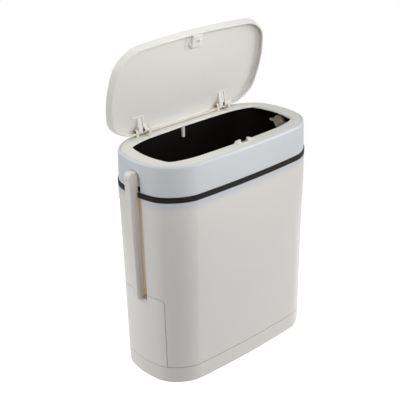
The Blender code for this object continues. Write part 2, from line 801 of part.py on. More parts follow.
def make_rim_pads(body):
    pads = []
    for side in (-1, 1):
        x, y = side * rim_pad_place[0], rim_pad_place[1]
        half_x, half_y = rim_pad_size[0] / 2, rim_pad_size[1] / 2
        profile = round_rectangle((x - half_x, x + half_x), (y - half_y, y + half_y), half_y / 2, 3)
        pads.append(prism("pad", profile, "Z", rim_top - rim_pad_pocket + seat_gap, rim_top + rim_pad_proud))
    add_numbered("rim_pad", pads, "soft_white", body)


def peg_back():
    return wall_plan.half_width - bucket_rim_inset - bucket_wall - peg_wall_gap


def make_bag_peg(body):
    back = peg_back()
    profile = round_rectangle((-peg_half_width, peg_half_width), (peg_bottom, rim_bottom - seat_gap),
                              peg_half_width / 2, 3)
    add_node("bag_peg", prism("bag_peg", profile, "Y", back - peg_thickness, back), "white_rim", body)


# The spring's down leg stands one wire and its clearances inside the boss's slot
def spring_leg_x():
    return spring_slot_start + running_gap + spring_wire / 2


def make_hinge(side, body):
    word = "right" if side > 0 else "left"
    start = boss_start - lug_gap - lug_thickness
    end = boss_end + lug_gap + lug_thickness
    pin = turned("pin", [(pin_radius, side * start), (pin_radius, side * end)], "X", (hinge_y, hinge_z))
    add_node("hinge_pin_" + word, pin, "steel", body)
    up = Vector((0, -math.cos(open_angle), math.sin(open_angle)))
    out = Vector((0, math.sin(open_angle), math.cos(open_angle)))
    first = math.pi / 2 - open_angle
    last = -(math.pi / 2 - spring_leg_slope) - 2 * math.pi * spring_turns
    per_turn = 10
    steps = round((first - last) / (2 * math.pi) * per_turn)
    x_last = spring_leg_x()
    x_first = x_last + spring_pitch * (first - last) / (2 * math.pi)
    centre = Vector((0, hinge_y, hinge_z))
    points = [centre + out * spring_coil_radius + up * spring_leg_up + Vector((x_first, 0, 0))]
    for i in range(steps + 1):
        angle = first + (last - first) * i / steps
        x = x_first + (x_last - x_first) * i / steps
        points.append(centre + Vector((x, spring_coil_radius * math.cos(angle),
                                       spring_coil_radius * math.sin(angle))))
    down = Vector((0, -math.cos(spring_leg_slope), -math.sin(spring_leg_slope)))
    points.append(points[-1] + down * spring_leg_down)
    points = [Vector((side * p.x, p.y, p.z)) for p in points]
    name = "hinge_spring_" + word
    report_gap(name, points[1:-1], spring_wire, per_turn)
    add_node(name, tube_mesh(name, points, spring_wire), "steel", body)


# Lid pieces, in the lid's own frame: the hinge axis is the origin and the lid lies closed
def lid_ring(inset, z):
    return outline(lid_plan, inset, z - hinge_z, lid_centre_y - hinge_y)


def make_lid(body):
    soften = lid_round
    outside = [(lid_lip_inset, lid_lip), (soften / 4, lid_face - soften),
               (soften / 3, lid_face - soften / 3), (soften, lid_face),
               (lid_crown_inset / 2, lid_face + lid_crown * 0.75), (lid_crown_inset, lid_face + lid_crown)]
    lid = add_node("lid_shell", loft("lid_shell", [lid_ring(*station) for station in outside[:4]]
                                     + [crown_ring(*station) for station in outside[4:]]),
                   "white_shell", body, local=True)
    lip = lid_lip_inset + lid_wall
    inside = [(lip, lid_lip - overrun), (lip, lid_lip),
              (lid_wall + lid_inner_round / 4, lid_inner - lid_inner_round),
              (lid_wall + lid_inner_round, lid_inner)]
    combine(lid, add_tool("lid_inside", loft("lid_inside", [lid_ring(*station) for station in inside]),
                          body, local=True))
    ceiling = lid_inner - hinge_z
    pocket = boss_end + lug_gap + lug_thickness + running_gap
    room = boss_start - lug_gap - lug_thickness - running_gap
    pockets = [box("pocket", (start, end), (-hinge_pocket_front, hinge_pocket_front + overrun),
                   (lid_lip - overrun - hinge_z, ceiling))
               for start, end in ((-pocket, -room), (room, pocket))]
    combine(lid, add_tool("hinge_pockets", joined("hinge_pockets", pockets), body, local=True))
    root = ceiling + lid_plate / 3
    profile = ([(boss_heel, root), (-boss_reach, root), (-boss_reach, ceiling - boss_radius / 8)]
               + arc((0.0, 0.0), boss_radius, 250, 330, 5) + [(boss_heel, ceiling - boss_radius / 8)])
    cheeks = []
    for side in (-1, 1):
        for start, end in ((boss_start, spring_slot_start), (spring_slot_end, boss_end)):
            cheeks.append(prism("cheek", profile, "X", side * start, side * end))
    combine(lid, add_tool("hinge_cheeks", joined("hinge_cheeks", cheeks), body, local=True), "UNION")
    reach = boss_end + overrun
    cuts = [turned("bore", [(pin_hole_radius, side * (boss_start - overrun)),
                            (pin_hole_radius, side * reach)], "X") for side in (-1, 1)]
    for x, y in hook_screw_places():
        radius = hook_screw_radius + seat_gap
        cuts.append(turned("hole", [(radius, ceiling - overrun),
                                    (radius, ceiling + lid_plate / 2 + running_gap)], "Z", (x, y), 12))
    combine(lid, add_tool("lid_cuts", joined("lid_cuts", cuts), body, local=True))
    side = wall_plan.half_length + overrun
    below = box("lid_stop", (-side, side), (0.0, wall_plan.half_width + 4 * overrun),
                (collar_bottom, stop_height))
    combine(lid, add_tool("lid_stop", below))


# A ring of the lid's crowned face, the lid's outline shrunk about its middle
def crown_ring(inset, z):
    ring = lid_ring(0.0, z)
    middle = lid_centre_y - hinge_y
    share = 1 - inset / lid_plan.half_width
    ring[:, 0] *= share
    ring[:, 1] = middle + (ring[:, 1] - middle) * share
    return ring


def hook_screw_places():
    y = -(hook_reach - hook_plate_back / 2)
    return [(latch_centre + sx * hook_screw_spread, y) for sx in (-1, 1)]


def make_hook(body):
    ceiling = lid_inner - hinge_z - seat_gap
    under = ceiling - hook_plate_thickness
    front = -(hook_reach + hook_thickness)
    back = -hook_reach
    tip = -hook_depth
    barb = front - hook_barb
    root = (under + ceiling) / 2
    profile = [(back, root), (front, root), (front, tip + hook_barb_height),
               (barb, tip + hook_barb_height / 2), (barb + hook_barb / 2, tip), (back, tip)]
    blade = prism("lid_hook", profile, "X", latch_centre - hook_half_width, latch_centre + hook_half_width)
    hook = add_node("lid_hook", blade, "white_rim", body, local=True)
    plate = box("hook_plate", (latch_centre - hook_plate_half, latch_centre + hook_plate_half),
                (barb, back + hook_plate_back), (under, ceiling))
    combine(hook, add_tool("hook_plate", plate, body, local=True), "UNION", "MANIFOLD")
    holes = [turned("hole", [(hook_screw_radius + seat_gap, under - overrun),
                             (hook_screw_radius + seat_gap, ceiling + overrun)], "Z", place, 12)
             for place in hook_screw_places()]
    combine(hook, add_tool("hook_holes", joined("hook_holes", holes), body, local=True))
    head_top = under - seat_gap
    screws = [screw_mesh("screw", place, hook_screw_head, head_top - hook_screw_radius, hook_screw_radius,
                         hook_screw_radius, head_top + hook_screw_length) for place in hook_screw_places()]
    add_numbered("hook_screw", screws, "steel", body, local=True)


# Latch pieces
def make_latch(collar_body, latch_body):
    bottom = rim_top + seat_gap
    top = bottom + housing_height
    r = housing_round
    profile = ([(housing_right + housing_ramp, bottom)] + arc((housing_right - r, top - r), r, 30, 90, 3)
               + arc((housing_left + r, top - r), r, 90, 180, 3) + [(housing_left, bottom)])
    housing = add_node("latch_housing", prism("latch_housing", profile, "Y", housing_front, housing_back),
                       "white_rim", collar_body)
    slot = box("housing_slot", slot_x, slot_y, (bottom - overrun, top + overrun))
    combine(housing, add_tool("housing_slot", slot))
    pocket_top = rim_bottom - seat_gap
    pocket_bottom = pocket_top - pocket_depth
    cover = box("latch_cover", (slot_x[0] - pocket_wall, slot_x[1] + pocket_wall),
                (slot_y[0] - pocket_wall, slot_y[1] + pocket_wall), (pocket_bottom, pocket_top))
    cover = add_node("latch_cover", cover, "white_rim", collar_body)
    hollow_bottom = pocket_bottom + pocket_floor
    combine(cover, add_tool("cover_hollow", box("cover_hollow", slot_x, slot_y, (hollow_bottom, rim_top))))
    slider_x = (slot_x[0] + running_gap, slot_x[1] - running_gap)
    slider_y = (slot_y[0] + running_gap, slot_y[1] - running_gap)
    slider_bottom = slider_top - slider_height
    add_node("latch_slider", box("latch_slider", slider_x, slider_y, (slider_bottom, slider_top)),
             "grey_latch", latch_body)
    low = hollow_bottom + seat_gap + latch_wire / 2
    high = slider_bottom - seat_gap - latch_wire / 2
    per_turn = 9
    steps = latch_turns * per_turn
    middle = Vector((latch_centre, (slot_y[0] + slot_y[1]) / 2, 0))
    points = []
    for i in range(steps + 1):
        angle = 2 * math.pi * i / per_turn
        points.append(middle + Vector((latch_coil_radius * math.cos(angle),
                                       latch_coil_radius * math.sin(angle),
                                       low + (high - low) * i / steps)))
    tangent = Vector((0, latch_wire * 1.5, 0))
    points = [points[0] - tangent] + points + [points[-1] + tangent]
    report_gap("latch_spring", points[1:-1], latch_wire, per_turn)
    add_node("latch_spring", tube_mesh("latch_spring", points, latch_wire), "steel", collar_body)


# Brush pieces
def make_brush(body):
    cover = add_node("brush_handle", loft("brush_handle", [wall_ring(0.0, shell_bottom + seat_gap),
                                                           wall_ring(0.0, window_top)]), "white_shell", body)
    profile = window_profile(cover_half_width, cover_top, shell_bottom - overrun)
    combine(cover, add_tool("cover_edge", prism("cover_edge", profile, "X", bar_outer - overrun,
                                                bay_back - shell_wall)), "INTERSECT")
    combine(cover, add_tool("cover_behind", loft("cover_behind", [
        wall_ring(cover_wall, shell_bottom - overrun), wall_ring(cover_wall, window_top + overrun)])))
    foot = channel_floor + seat_gap
    notch_floor = foot + running_gap
    notch = box("cover_notch", (bar_outer - overrun, channel_back),
                (-channel_half_width, channel_half_width), (notch_floor, window_top + overrun))
    combine(cover, add_tool("cover_notch", notch))
    wall_x = -plan_at(channel_floor).half_length
    embed = wall_x + cover_wall / 2
    rounded = (arc((bar_outer + bar_round, bar_top - bar_round), bar_round, 180, 90, 5)
               + arc((bar_inner - bar_heel_round, bar_top - bar_heel_round), bar_heel_round, 90, 0, 4))
    side = rounded + [(bar_foot_inner, foot), (embed, foot), (embed, foot - bar_root_drop),
                      (wall_x, foot - bar_root_drop), (bar_foot_outer, foot + bar_foot_rise)]
    bar = add_tool("handle_bar", prism("handle_bar", side, "Y", -bar_half_width, bar_half_width))
    hole = turned("handle_hole", [(bar_hole_radius, bar_outer - overrun),
                                  (bar_hole_radius, bar_outer + bar_hole_depth)],
                  "X", (0.0, bar_hole_height), 12)
    combine(bar, add_tool("handle_hole", hole))
    combine(cover, bar, "UNION", "MANIFOLD")
    cover_inner = -plan_at(neck_height).half_length + cover_wall + seat_gap
    bend = Vector((head_x - neck_bend, 0, neck_height - neck_bend))
    points = [Vector((cover_inner, 0, neck_height))]
    for angle in np.radians(np.linspace(90, 0, 6)):
        points.append(bend + Vector((math.cos(angle), 0, math.sin(angle))) * neck_bend)
    points.append(Vector((head_x, 0, head_top + seat_gap)))
    add_node("brush_neck", tube_mesh("brush_neck", points, 2 * neck_radius), "white_shell", body)
    stations = []
    for fin in range(head_fins):
        z = head_bottom + fin * head_fin_pitch
        stations += [(head_core_radius, z), (head_fin_radius, z + head_fin_pitch / 2 - head_fin_edge / 2),
                     (head_fin_radius, z + head_fin_pitch / 2 + head_fin_edge / 2)]
    stations.append((head_core_radius, head_top))
    add_node("brush_head", turned("brush_head", stations, "Z", (head_x, 0.0), 20), "soft_grey", body)


def build():
    clear_scene()
    bucket_body = add_empty("bucket_lift", (0.0, 0.0, flange_bottom))
    collar_body = add_empty("collar_lift", (0.0, 0.0, collar_bottom), parent=bucket_body)
    lid_body = add_empty("lid_hinge", (0.0, hinge_y, hinge_z), -open_angle)
    latch_body = add_empty("latch_press", (latch_centre, (slot_y[0] + slot_y[1]) / 2, slider_top))
    clip_right_body = add_empty("clip_right_turn", (clip_right_x, 0.0, clip_height))
    clip_left_body = add_empty("clip_left_turn", (clip_left_x, 0.0, clip_height))
    brush_body = add_empty("brush_pull", (bar_outer, 0.0, channel_floor))
    make_plinth()
    make_shell()
    make_drip_cup()
    make_bucket(bucket_body)
    make_clip(1, bucket_body, clip_right_body)
    make_clip(-1, bucket_body, clip_left_body)
    make_collar(collar_body)
    make_top_frame(collar_body)
    make_rim_pads(collar_body)
    make_bag_peg(collar_body)
    make_hinge(1, collar_body)
    make_hinge(-1, collar_body)
    make_lid(lid_body)
    make_hook(lid_body)
    make_latch(collar_body, latch_body)
    make_brush(brush_body)


build()
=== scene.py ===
import math
import bmesh
import bpy
import numpy as np
from mathutils import Matrix, Vector


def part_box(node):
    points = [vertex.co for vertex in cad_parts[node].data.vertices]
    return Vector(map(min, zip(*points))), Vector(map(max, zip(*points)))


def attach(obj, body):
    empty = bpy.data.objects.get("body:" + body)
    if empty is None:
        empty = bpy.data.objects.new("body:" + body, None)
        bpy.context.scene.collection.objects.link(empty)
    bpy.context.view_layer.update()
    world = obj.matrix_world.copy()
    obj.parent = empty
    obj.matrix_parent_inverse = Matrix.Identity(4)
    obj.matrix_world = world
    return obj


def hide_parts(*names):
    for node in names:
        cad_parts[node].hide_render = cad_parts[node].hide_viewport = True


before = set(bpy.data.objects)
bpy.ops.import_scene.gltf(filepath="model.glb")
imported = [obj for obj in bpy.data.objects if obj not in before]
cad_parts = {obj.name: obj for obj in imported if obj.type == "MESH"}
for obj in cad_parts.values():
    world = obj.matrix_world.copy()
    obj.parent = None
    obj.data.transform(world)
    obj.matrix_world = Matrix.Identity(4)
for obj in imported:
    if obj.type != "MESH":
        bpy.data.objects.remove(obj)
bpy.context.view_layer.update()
mm = 0.001
print("frame loaded")

# Outlines of the bin, in mm: a rounded rectangle with elliptical corners, whose sides bow outward
plans = {
    "base": dict(halfLength=146.7, halfWidth=72.3, cornerX=37.2, cornerY=37.6, sideBow=0.079, endBow=0.123),
    "wall": dict(halfLength=150.0, halfWidth=75.4, cornerX=40.8, cornerY=40.0, sideBow=0.079, endBow=0.123),
    "mouth": dict(halfLength=124.1, halfWidth=51.4, cornerX=47.3, cornerY=11.0, sideBow=0.086, endBow=0.079),
    "lid": dict(halfLength=144.3, halfWidth=73.1, cornerX=34.2, cornerY=30.9, sideBow=0.088, endBow=0.098),
}
hinge = dict(y=63.9, z=344.4, openDegrees=76.5)
bandBottom = 286.5
grid = dict(corner=28, side=36, end=20)      # steps along an outline
over = 6.0                                   # how far a cutting solid runs past what it cuts
slab = 200.0                                 # half length of a solid that cuts right across the bin
middle = 30.0                                # inset of the ring that closes a solid's foot or top
cornerShare = 0.48                           # a soft corner takes at most this share of an edge


# One outline drawn in by inset: x = +-(a - rx) + rx cos t, y = +-(b - ry) + ry sin t at the corners,
# straight runs between, then x *= 1 - endBow (y/b)^2 and y *= 1 - sideBow (x/a)^2
def outline(plan, inset=0.0):
    a = plan["halfLength"] - inset
    b = plan["halfWidth"] - inset
    rx = plan["cornerX"] - inset
    ry = plan["cornerY"] - inset
    t = np.linspace(0, math.pi / 2, grid["corner"] + 1)
    arcs = [np.column_stack((sx * (a - rx) + rx * np.cos(t + k * math.pi / 2),
                             sy * (b - ry) + ry * np.sin(t + k * math.pi / 2)))
            for k, (sx, sy) in enumerate(((1, 1), (-1, 1), (-1, -1), (1, -1)))]
    parts = []
    for k, arc in enumerate(arcs):
        steps = grid["side"] if k % 2 == 0 else grid["end"]
        parts += [arc, np.linspace(arc[-1], arcs[(k + 1) % 4][0], steps + 1)[1:-1]]
    x, y = np.vstack(parts).T
    return np.column_stack((x * (1 - plan["endBow"] * (y / b) ** 2), y * (1 - plan["sideBow"] * (x / a) ** 2)))


# The tapered wall: its plan at height z is the base's and the band's, mixed in proportion to z
def planAt(z):
    share = min(max(z / bandBottom, 0.0), 1.0)
    return {key: plans["base"][key] + (plans["wall"][key] - plans["base"][key]) * share for key in plans["wall"]}


# Rings at (inset, z) stations, on the tapered wall or on one plan
def ringsAt(stations, plan=None):
    rings = []
    for inset, z in stations:
        flat = outline(plan or planAt(z), inset)
        rings.append(np.column_stack((flat, np.full(len(flat), z))))
    return np.array(rings)


# A polyline whose corners become arcs: at each corner, points p = (1-s)^2 a + 2 s (1-s) c + s^2 b
def softened(points, radii, steps=4):
    points = [np.array(p, float) for p in points]
    out = [points[0]]
    for before, corner, after, radius in zip(points, points[1:], points[2:], radii):
        toBefore, toAfter = before - corner, after - corner
        reach = min(radius, cornerShare * np.linalg.norm(toBefore), cornerShare * np.linalg.norm(toAfter))
        start = corner + toBefore / np.linalg.norm(toBefore) * reach
        end = corner + toAfter / np.linalg.norm(toAfter) * reach
        s = np.linspace(0, 1, steps + 1)[:, None]
        out += list((1 - s) ** 2 * start + 2 * s * (1 - s) * corner + s ** 2 * end)
    out.append(points[-1])
    return [tuple(p) for p in out]


# The same for a closed polygon: each corner is softened between its two neighbours
def softPolygon(points, radii, steps=4):
    count = len(points)
    radii = [radii] * count if isinstance(radii, (int, float)) else radii
    out = []
    for i in range(count):
        trio = [points[i - 1], points[i], points[(i + 1) % count]]
        out += softened(trio, [radii[i]], steps)[1:-1] if radii[i] else [points[i]]
    return out


# The faces between rows of a grid that closes on itself along each row
def gridFaces(rows, columns, loop):
    i = np.arange(rows if loop else rows - 1)[:, None]
    j = np.arange(columns)[None, :]
    nextI = (i + 1) % rows
    nextJ = (j + 1) % columns
    quads = np.stack(np.broadcast_arrays(i * columns + j, i * columns + nextJ,
                                         nextI * columns + nextJ, nextI * columns + j), axis=-1)
    return quads.reshape(-1, 4).tolist()


# A mesh object from points in metres, smooth but for edges that turn by more than sharp degrees
def makePiece(name, points, faces, sharp=30):
    mesh = bpy.data.meshes.new(name)
    mesh.from_pydata(points, [], faces)
    mesh.update()
    piece = bpy.data.objects.new(name, mesh)
    bpy.context.scene.collection.objects.link(piece)
    mesh.shade_smooth()
    mesh.set_sharp_from_angle(angle=math.radians(sharp))
    return piece


# A closed solid through a grid of rings, in mm, each end closed by one flat face unless it loops
def loft(name, rings, loop=False, place=None, sharp=30):
    rows, columns = rings.shape[:2]
    points = rings.reshape(-1, 3) * mm
    faces = gridFaces(rows, columns, loop)
    if not loop:
        last = (rows - 1) * columns
        faces += [list(range(columns))[::-1], list(range(last, last + columns))]
    if place is not None:
        points = points @ np.array(place.to_3x3()).T + np.array(place.translation)
    piece = makePiece(name, points.tolist(), faces, sharp)
    fixNormals(piece)
    return piece


# Turns every face of a closed solid outward
def fixNormals(piece):
    bm = bmesh.new()
    bm.from_mesh(piece.data)
    bmesh.ops.recalc_face_normals(bm, faces=list(bm.faces))
    bm.to_mesh(piece.data)
    bm.free()


# A profile in the plane square to an axis, carried from start to end, its two rims softened:
# the profile shrinks by soft (1 - cos t) while it moves soft (1 - sin t) inward
def carried(name, profile, axis, start, end, soft=0.0, place=None, steps=3, sharp=30):
    flat = np.array(profile, float)
    if np.sum(flat[:, 0] * np.roll(flat[:, 1], -1) - np.roll(flat[:, 0], -1) * flat[:, 1]) < 0:
        flat = flat[::-1]
    edge = np.roll(flat, -1, axis=0) - flat
    normal = np.column_stack((edge[:, 1], -edge[:, 0])) / np.maximum(np.linalg.norm(edge, axis=1), 1e-9)[:, None]
    vertexNormal = normal + np.roll(normal, 1, axis=0)
    vertexNormal /= np.maximum((vertexNormal ** 2).sum(axis=1), 1e-9)[:, None] / 2
    t = np.linspace(0, math.pi / 2, steps + 1) if soft else np.array([math.pi / 2])
    inward = soft * (1 - np.sin(t))
    lift = soft * (1 - np.cos(t)) if soft else np.array([0.0])
    sign = 1 if end > start else -1
    stations = list(zip(inward, start + sign * lift)) + list(zip(inward[::-1], end - sign * lift[::-1]))
    order = {"X": (2, 0, 1), "Y": (0, 2, 1), "Z": (0, 1, 2)}[axis]
    rings = []
    for shrink, w in stations:
        ring = np.column_stack((flat - vertexNormal * shrink, np.full(len(flat), w)))
        rings.append(ring[:, order])
    return loft(name, np.array(rings), place=place, sharp=sharp)


# A box from three spans, in mm
def boxPiece(name, x, y, z, place=None):
    return carried(name, [(x[0], y[0]), (x[1], y[0]), (x[1], y[1]), (x[0], y[1])], "Z", z[0], z[1], place=place)


# A turned solid: radius r at place w along an axis, swept round: u = r cos t, v = r sin t
def turned(name, stations, axis, centre=(0.0, 0.0), sides=48, place=None, sharp=30):
    t = np.linspace(0, 2 * math.pi, sides, endpoint=False)
    order = {"X": (2, 0, 1), "Y": (0, 2, 1), "Z": (0, 1, 2)}[axis]
    rings = [np.column_stack((centre[0] + r * np.cos(t), centre[1] + r * np.sin(t), np.full(sides, w)))[:, order]
             for r, w in stations]
    return loft(name, np.array(rings), place=place, sharp=sharp)


# Points along an arc, by angle t in degrees: centre + radius (cos t, sin t)
def arcPoints(centre, radius, start, end, steps=10):
    t = np.radians(np.linspace(start, end, steps + 1))
    return list(zip(centre[0] + radius * np.cos(t), centre[1] + radius * np.sin(t)))


# Applies a Boolean with a passing tool, then drops the tool
def joinCut(piece, tool, operation="DIFFERENCE", solver="EXACT", sharp=30):
    modifier = piece.modifiers.new("shape", "BOOLEAN")
    modifier.operation = operation
    modifier.solver = solver
    modifier.object = tool
    bpy.context.view_layer.update()
    graph = bpy.context.evaluated_depsgraph_get()
    mesh = bpy.data.meshes.new_from_object(piece.evaluated_get(graph))
    piece.modifiers.clear()
    old = piece.data
    piece.data = mesh
    bpy.data.meshes.remove(old)
    bpy.data.objects.remove(tool)
    mesh.shade_smooth()
    mesh.set_sharp_from_angle(angle=math.radians(sharp))
    if not len(mesh.polygons):
        print("empty after", operation, piece.name)
    return piece


# Gives a piece its material, its body and the CAD nodes that it stands for
def finishPiece(piece, body, slotName, material, *nodes):
    piece.data.materials.clear()
    piece.data.materials.append(material)
    weighted = piece.modifiers.new("even shading", "WEIGHTED_NORMAL")
    weighted.keep_sharp = True
    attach(piece, body)
    if nodes:
        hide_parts(*nodes)
    return piece


# sRGB hex to linear light: c / 12.92 up to 0.04045, and ((c + 0.055) / 1.055)^2.4 above it
def linear(hexColour):
    channels = np.array([int(hexColour[i:i + 2], 16) for i in (1, 3, 5)]) / 255
    return (*np.where(channels <= 0.04045, channels / 12.92, ((channels + 0.055) / 1.055) ** 2.4), 1.0)


# Adds a node with its settings, its input values and its links
def addNode(tree, kind, settings=None, values=None, links=None):
    node = tree.nodes.new(kind)
    for key, value in (settings or {}).items():
        setattr(node, key, value)
    for key, value in (values or {}).items():
        node.inputs[key].default_value = value
    for key, socket in (links or {}).items():
        tree.links.new(socket, node.inputs[key])
    return node


# The handle's channel at the left end, as a mask for painted warm bounce light: the product of smooth steps, each from
# 0 to 1 between two places in mm, across the bin, along it and up it
def paintedBounceLightMask(tree, place, front):
    axes = addNode(tree, "ShaderNodeSeparateXYZ", None, None, {"Vector": place}).outputs
    across = addNode(tree, "ShaderNodeMath", {"operation": "ABSOLUTE"}, None, {0: axes["Y"]}).outputs["Value"]
    w = warm
    limits = [(across, w["edge"] + w["edgeFade"], w["edge"]), (axes["X"], *w["leftOf"]),
              (axes["X"], front - w["frontFade"], front + w["frontFade"]),
              (axes["Z"], w["foot"] - w["footFade"], w["foot"]), (axes["Z"], w["roof"] + w["roofFade"], w["roof"])]
    mask = None
    for value, start, end in limits:
        step = addNode(tree, "ShaderNodeMapRange", {"interpolation_type": "SMOOTHSTEP"},
                       {"From Min": start * mm, "From Max": end * mm}, {"Value": value}).outputs["Result"]
        mask = addNode(tree, "ShaderNodeMath", {"operation": "MULTIPLY"}, None,
                       {0: mask, 1: step}).outputs["Value"] if mask else step
    return mask


# A moulded plastic: two close shades in soft clouds, and a fine spark-eroded grain in the bump.
# Optional layers paint light and shade into the colour: cool shade up high, warm shade in seams and hollows, warm
# bounce light in the handle's channel
def mouldedPlastic(name, colour, shade, roughness, cloudMm=60.0, grainMm=0.9, bump=0.12, ior=1.49, specular=0.5,
                   channel=None, paintedCreviceShade=None, top=None):
    material = bpy.data.materials.new(name)
    material.use_nodes = True
    tree = material.node_tree
    shader = tree.nodes["Principled BSDF"]
    place = addNode(tree, "ShaderNodeTexCoord").outputs["Object"]
    clouds = addNode(tree, "ShaderNodeTexNoise", None, {"Scale": 1 / (cloudMm * mm), "Detail": 3.0}, {"Vector": place})
    mix = addNode(tree, "ShaderNodeMix", {"data_type": "RGBA"}, None, {"Factor": clouds.outputs["Fac"]})
    mix.inputs["A"].default_value = linear(colour)
    mix.inputs["B"].default_value = linear(shade)
    grain = addNode(tree, "ShaderNodeTexNoise", None, {"Scale": 1 / (grainMm * mm), "Detail": 2.0, "Roughness": 0.6},
                    {"Vector": place})
    relief = addNode(tree, "ShaderNodeBump", None, {"Strength": bump, "Distance": 0.02 * mm},
                     {"Height": grain.outputs["Fac"]})
    wear = addNode(tree, "ShaderNodeMapRange", None, {"To Min": roughness - 0.04, "To Max": roughness + 0.05},
                   {"Value": clouds.outputs["Fac"]})
    paintedLightLayers = []
    # Painted cool shade: the colour fades to a darker, cooler grey towards the top, over a band of heights
    if top:
        high = addNode(tree, "ShaderNodeSeparateXYZ", None, None, {"Vector": place}).outputs["Z"]
        step = addNode(tree, "ShaderNodeMapRange", {"interpolation_type": "SMOOTHSTEP"},
                       {"From Min": top["start"] * mm, "From Max": top["end"] * mm}, {"Value": high})
        paintedLightLayers.append((step.outputs["Result"], top["tint"]))
    # Painted warm shade: the colour turns tan where ambient occlusion finds surfaces close by, in seams and hollows
    if paintedCreviceShade:
        closeness = addNode(tree, "ShaderNodeAmbientOcclusion", {"samples": 8}, {"Distance": paintedCreviceShade["reach"] * mm})
        deep = addNode(tree, "ShaderNodeMapRange", None, {"From Min": paintedCreviceShade["open"], "From Max": paintedCreviceShade["shut"]},
                       {"Value": closeness.outputs["AO"]})
        paintedLightLayers.append((deep.outputs["Result"], paintedCreviceShade["tint"]))
    # Painted warm bounce light: the colour turns a warm cream inside the handle's channel
    if channel:
        paintedLightLayers.append((paintedBounceLightMask(tree, place, channel["front"]), channel["tint"]))
    skin = mix.outputs["Result"]
    for mask, tint in paintedLightLayers:
        layer = addNode(tree, "ShaderNodeMix", {"data_type": "RGBA"}, None, {"Factor": mask})
        tree.links.new(skin, layer.inputs["A"])
        layer.inputs["B"].default_value = linear(tint)
        skin = layer.outputs["Result"]
    tree.links.new(skin, shader.inputs["Base Color"])
    tree.links.new(wear.outputs["Result"], shader.inputs["Roughness"])
    tree.links.new(relief.outputs["Normal"], shader.inputs["Normal"])
    shader.inputs["IOR"].default_value = ior
    shader.inputs["Specular IOR Level"].default_value = specular
    return material


# Drawn steel wire and pins: fine lines along X over a bright metal
def drawnSteel(name, colour="#B4B6B8", roughness=0.28):
    material = bpy.data.materials.new(name)
    material.use_nodes = True
    tree = material.node_tree
    shader = tree.nodes["Principled BSDF"]
    place = addNode(tree, "ShaderNodeTexCoord").outputs["Object"]
    stretch = addNode(tree, "ShaderNodeMapping", None, {"Scale": (0.1, 1.0, 1.0)}, {"Vector": place})
    lines = addNode(tree, "ShaderNodeTexNoise", None, {"Scale": 1 / (0.4 * mm), "Detail": 2.0},
                    {"Vector": stretch.outputs["Vector"]})
    rough = addNode(tree, "ShaderNodeMapRange", None, {"To Min": roughness - 0.08, "To Max": roughness + 0.12},
                    {"Value": lines.outputs["Fac"]})
    relief = addNode(tree, "ShaderNodeBump", None, {"Strength": 0.15, "Distance": 0.01 * mm},
                     {"Height": lines.outputs["Fac"]})
    tree.links.new(rough.outputs["Result"], shader.inputs["Roughness"])
    tree.links.new(relief.outputs["Normal"], shader.inputs["Normal"])
    shader.inputs["Base Color"].default_value = linear(colour)
    shader.inputs["Metallic"].default_value = 1.0
    return material


# Painted light and shade: warm bounce light in the handle's channel, warm shade in narrow seams and deep hollows, and
# cool shade on the shell's top below the band
warm = dict(edge=15.9, edgeFade=0.8, leftOf=(-100.0, -120.0), frontFade=0.8, foot=126.0, footFade=1.0, roof=323.0,
            roofFade=0.6, channel=dict(front=-154.0, tint="#EEDCC0"), collarChannel=dict(front=-145.6, tint="#F3E4D2"),
            joint=dict(reach=1.5, open=0.45, shut=0.1, tint="#CFA06A"),
            paintedCreviceShade=dict(reach=3.0, open=0.55, shut=0.2, tint="#CFA06A"),
            hollow=dict(reach=7.0, open=0.6, shut=0.1, tint="#CBA877"),
            top=dict(start=270.0, end=286.0, tint="#CDD1D6"))
finishes = {
    # A soft warm white, with painted warm shade in its seams, painted warm bounce light in the handle's channel, and
    # painted cool shade towards the band
    "shell": mouldedPlastic("moulded polypropylene, warm white", "#E3E0DC", "#E0DDD8", 0.42,
                            channel=warm["channel"], paintedCreviceShade=warm["paintedCreviceShade"], top=warm["top"]),
    # A shade lighter than the shell, so that the bar stands out, with painted warm shade in its narrow joints
    "handle": mouldedPlastic("moulded polypropylene, handle white", "#E6E3E0", "#E3E0DC", 0.42,
                             paintedCreviceShade=warm["joint"]),
    # A smoother, cooler white, with a wider sheen, and painted warm bounce light in the handle's channel
    "collar": mouldedPlastic("moulded ABS, cool white", "#D4D8DB", "#D1D5D8", 0.34,
                             channel=warm["collarChannel"]),
    # Creamy whites with painted warm shade in their hollows round the hinges
    "rim": mouldedPlastic("moulded ABS, white", "#E1E0DA", "#DDDCD5", 0.34, paintedCreviceShade=warm["hollow"]),
    # A plain white without painted shade in its seams, so that small fittings stay quiet
    "fitting": mouldedPlastic("moulded ABS, fitting white", "#E6E5E0", "#E2E1DB", 0.4),
    # The lid's creamy white, with painted warm shade in its hollows
    "lid": mouldedPlastic("moulded ABS, lid white", "#E3E2DD", "#DFDED8", 0.36, paintedCreviceShade=warm["hollow"]),
    # Near black and matt, with only a faint sheen along the band
    "bucket": mouldedPlastic("moulded polypropylene, black", "#0F0D0B", "#14110E", 0.42, bump=0.2, specular=0.25),
    # A pale beige that stands out inside the bucket, and a dark grey that reads as a gap in the rim
    "clip": mouldedPlastic("moulded acetal, beige", "#EFE4C9", "#E6DABC", 0.4),
    "latch": mouldedPlastic("moulded acetal, dark grey", "#4A4B4C", "#424344", 0.4),
    # Dull greys that grip: rubber under the plinth, and the soft brush head
    "pad": mouldedPlastic("moulded rubber, grey", "#6B6C6E", "#626365", 0.75, bump=0.3),
    "brush": mouldedPlastic("moulded thermoplastic rubber, grey", "#73767A", "#6B6E72", 0.7, bump=0.3),
    # A grey metal with fine drawn lines
    "steel": drawnSteel("drawn steel", "#77797B", 0.36),
}
print("materials made")

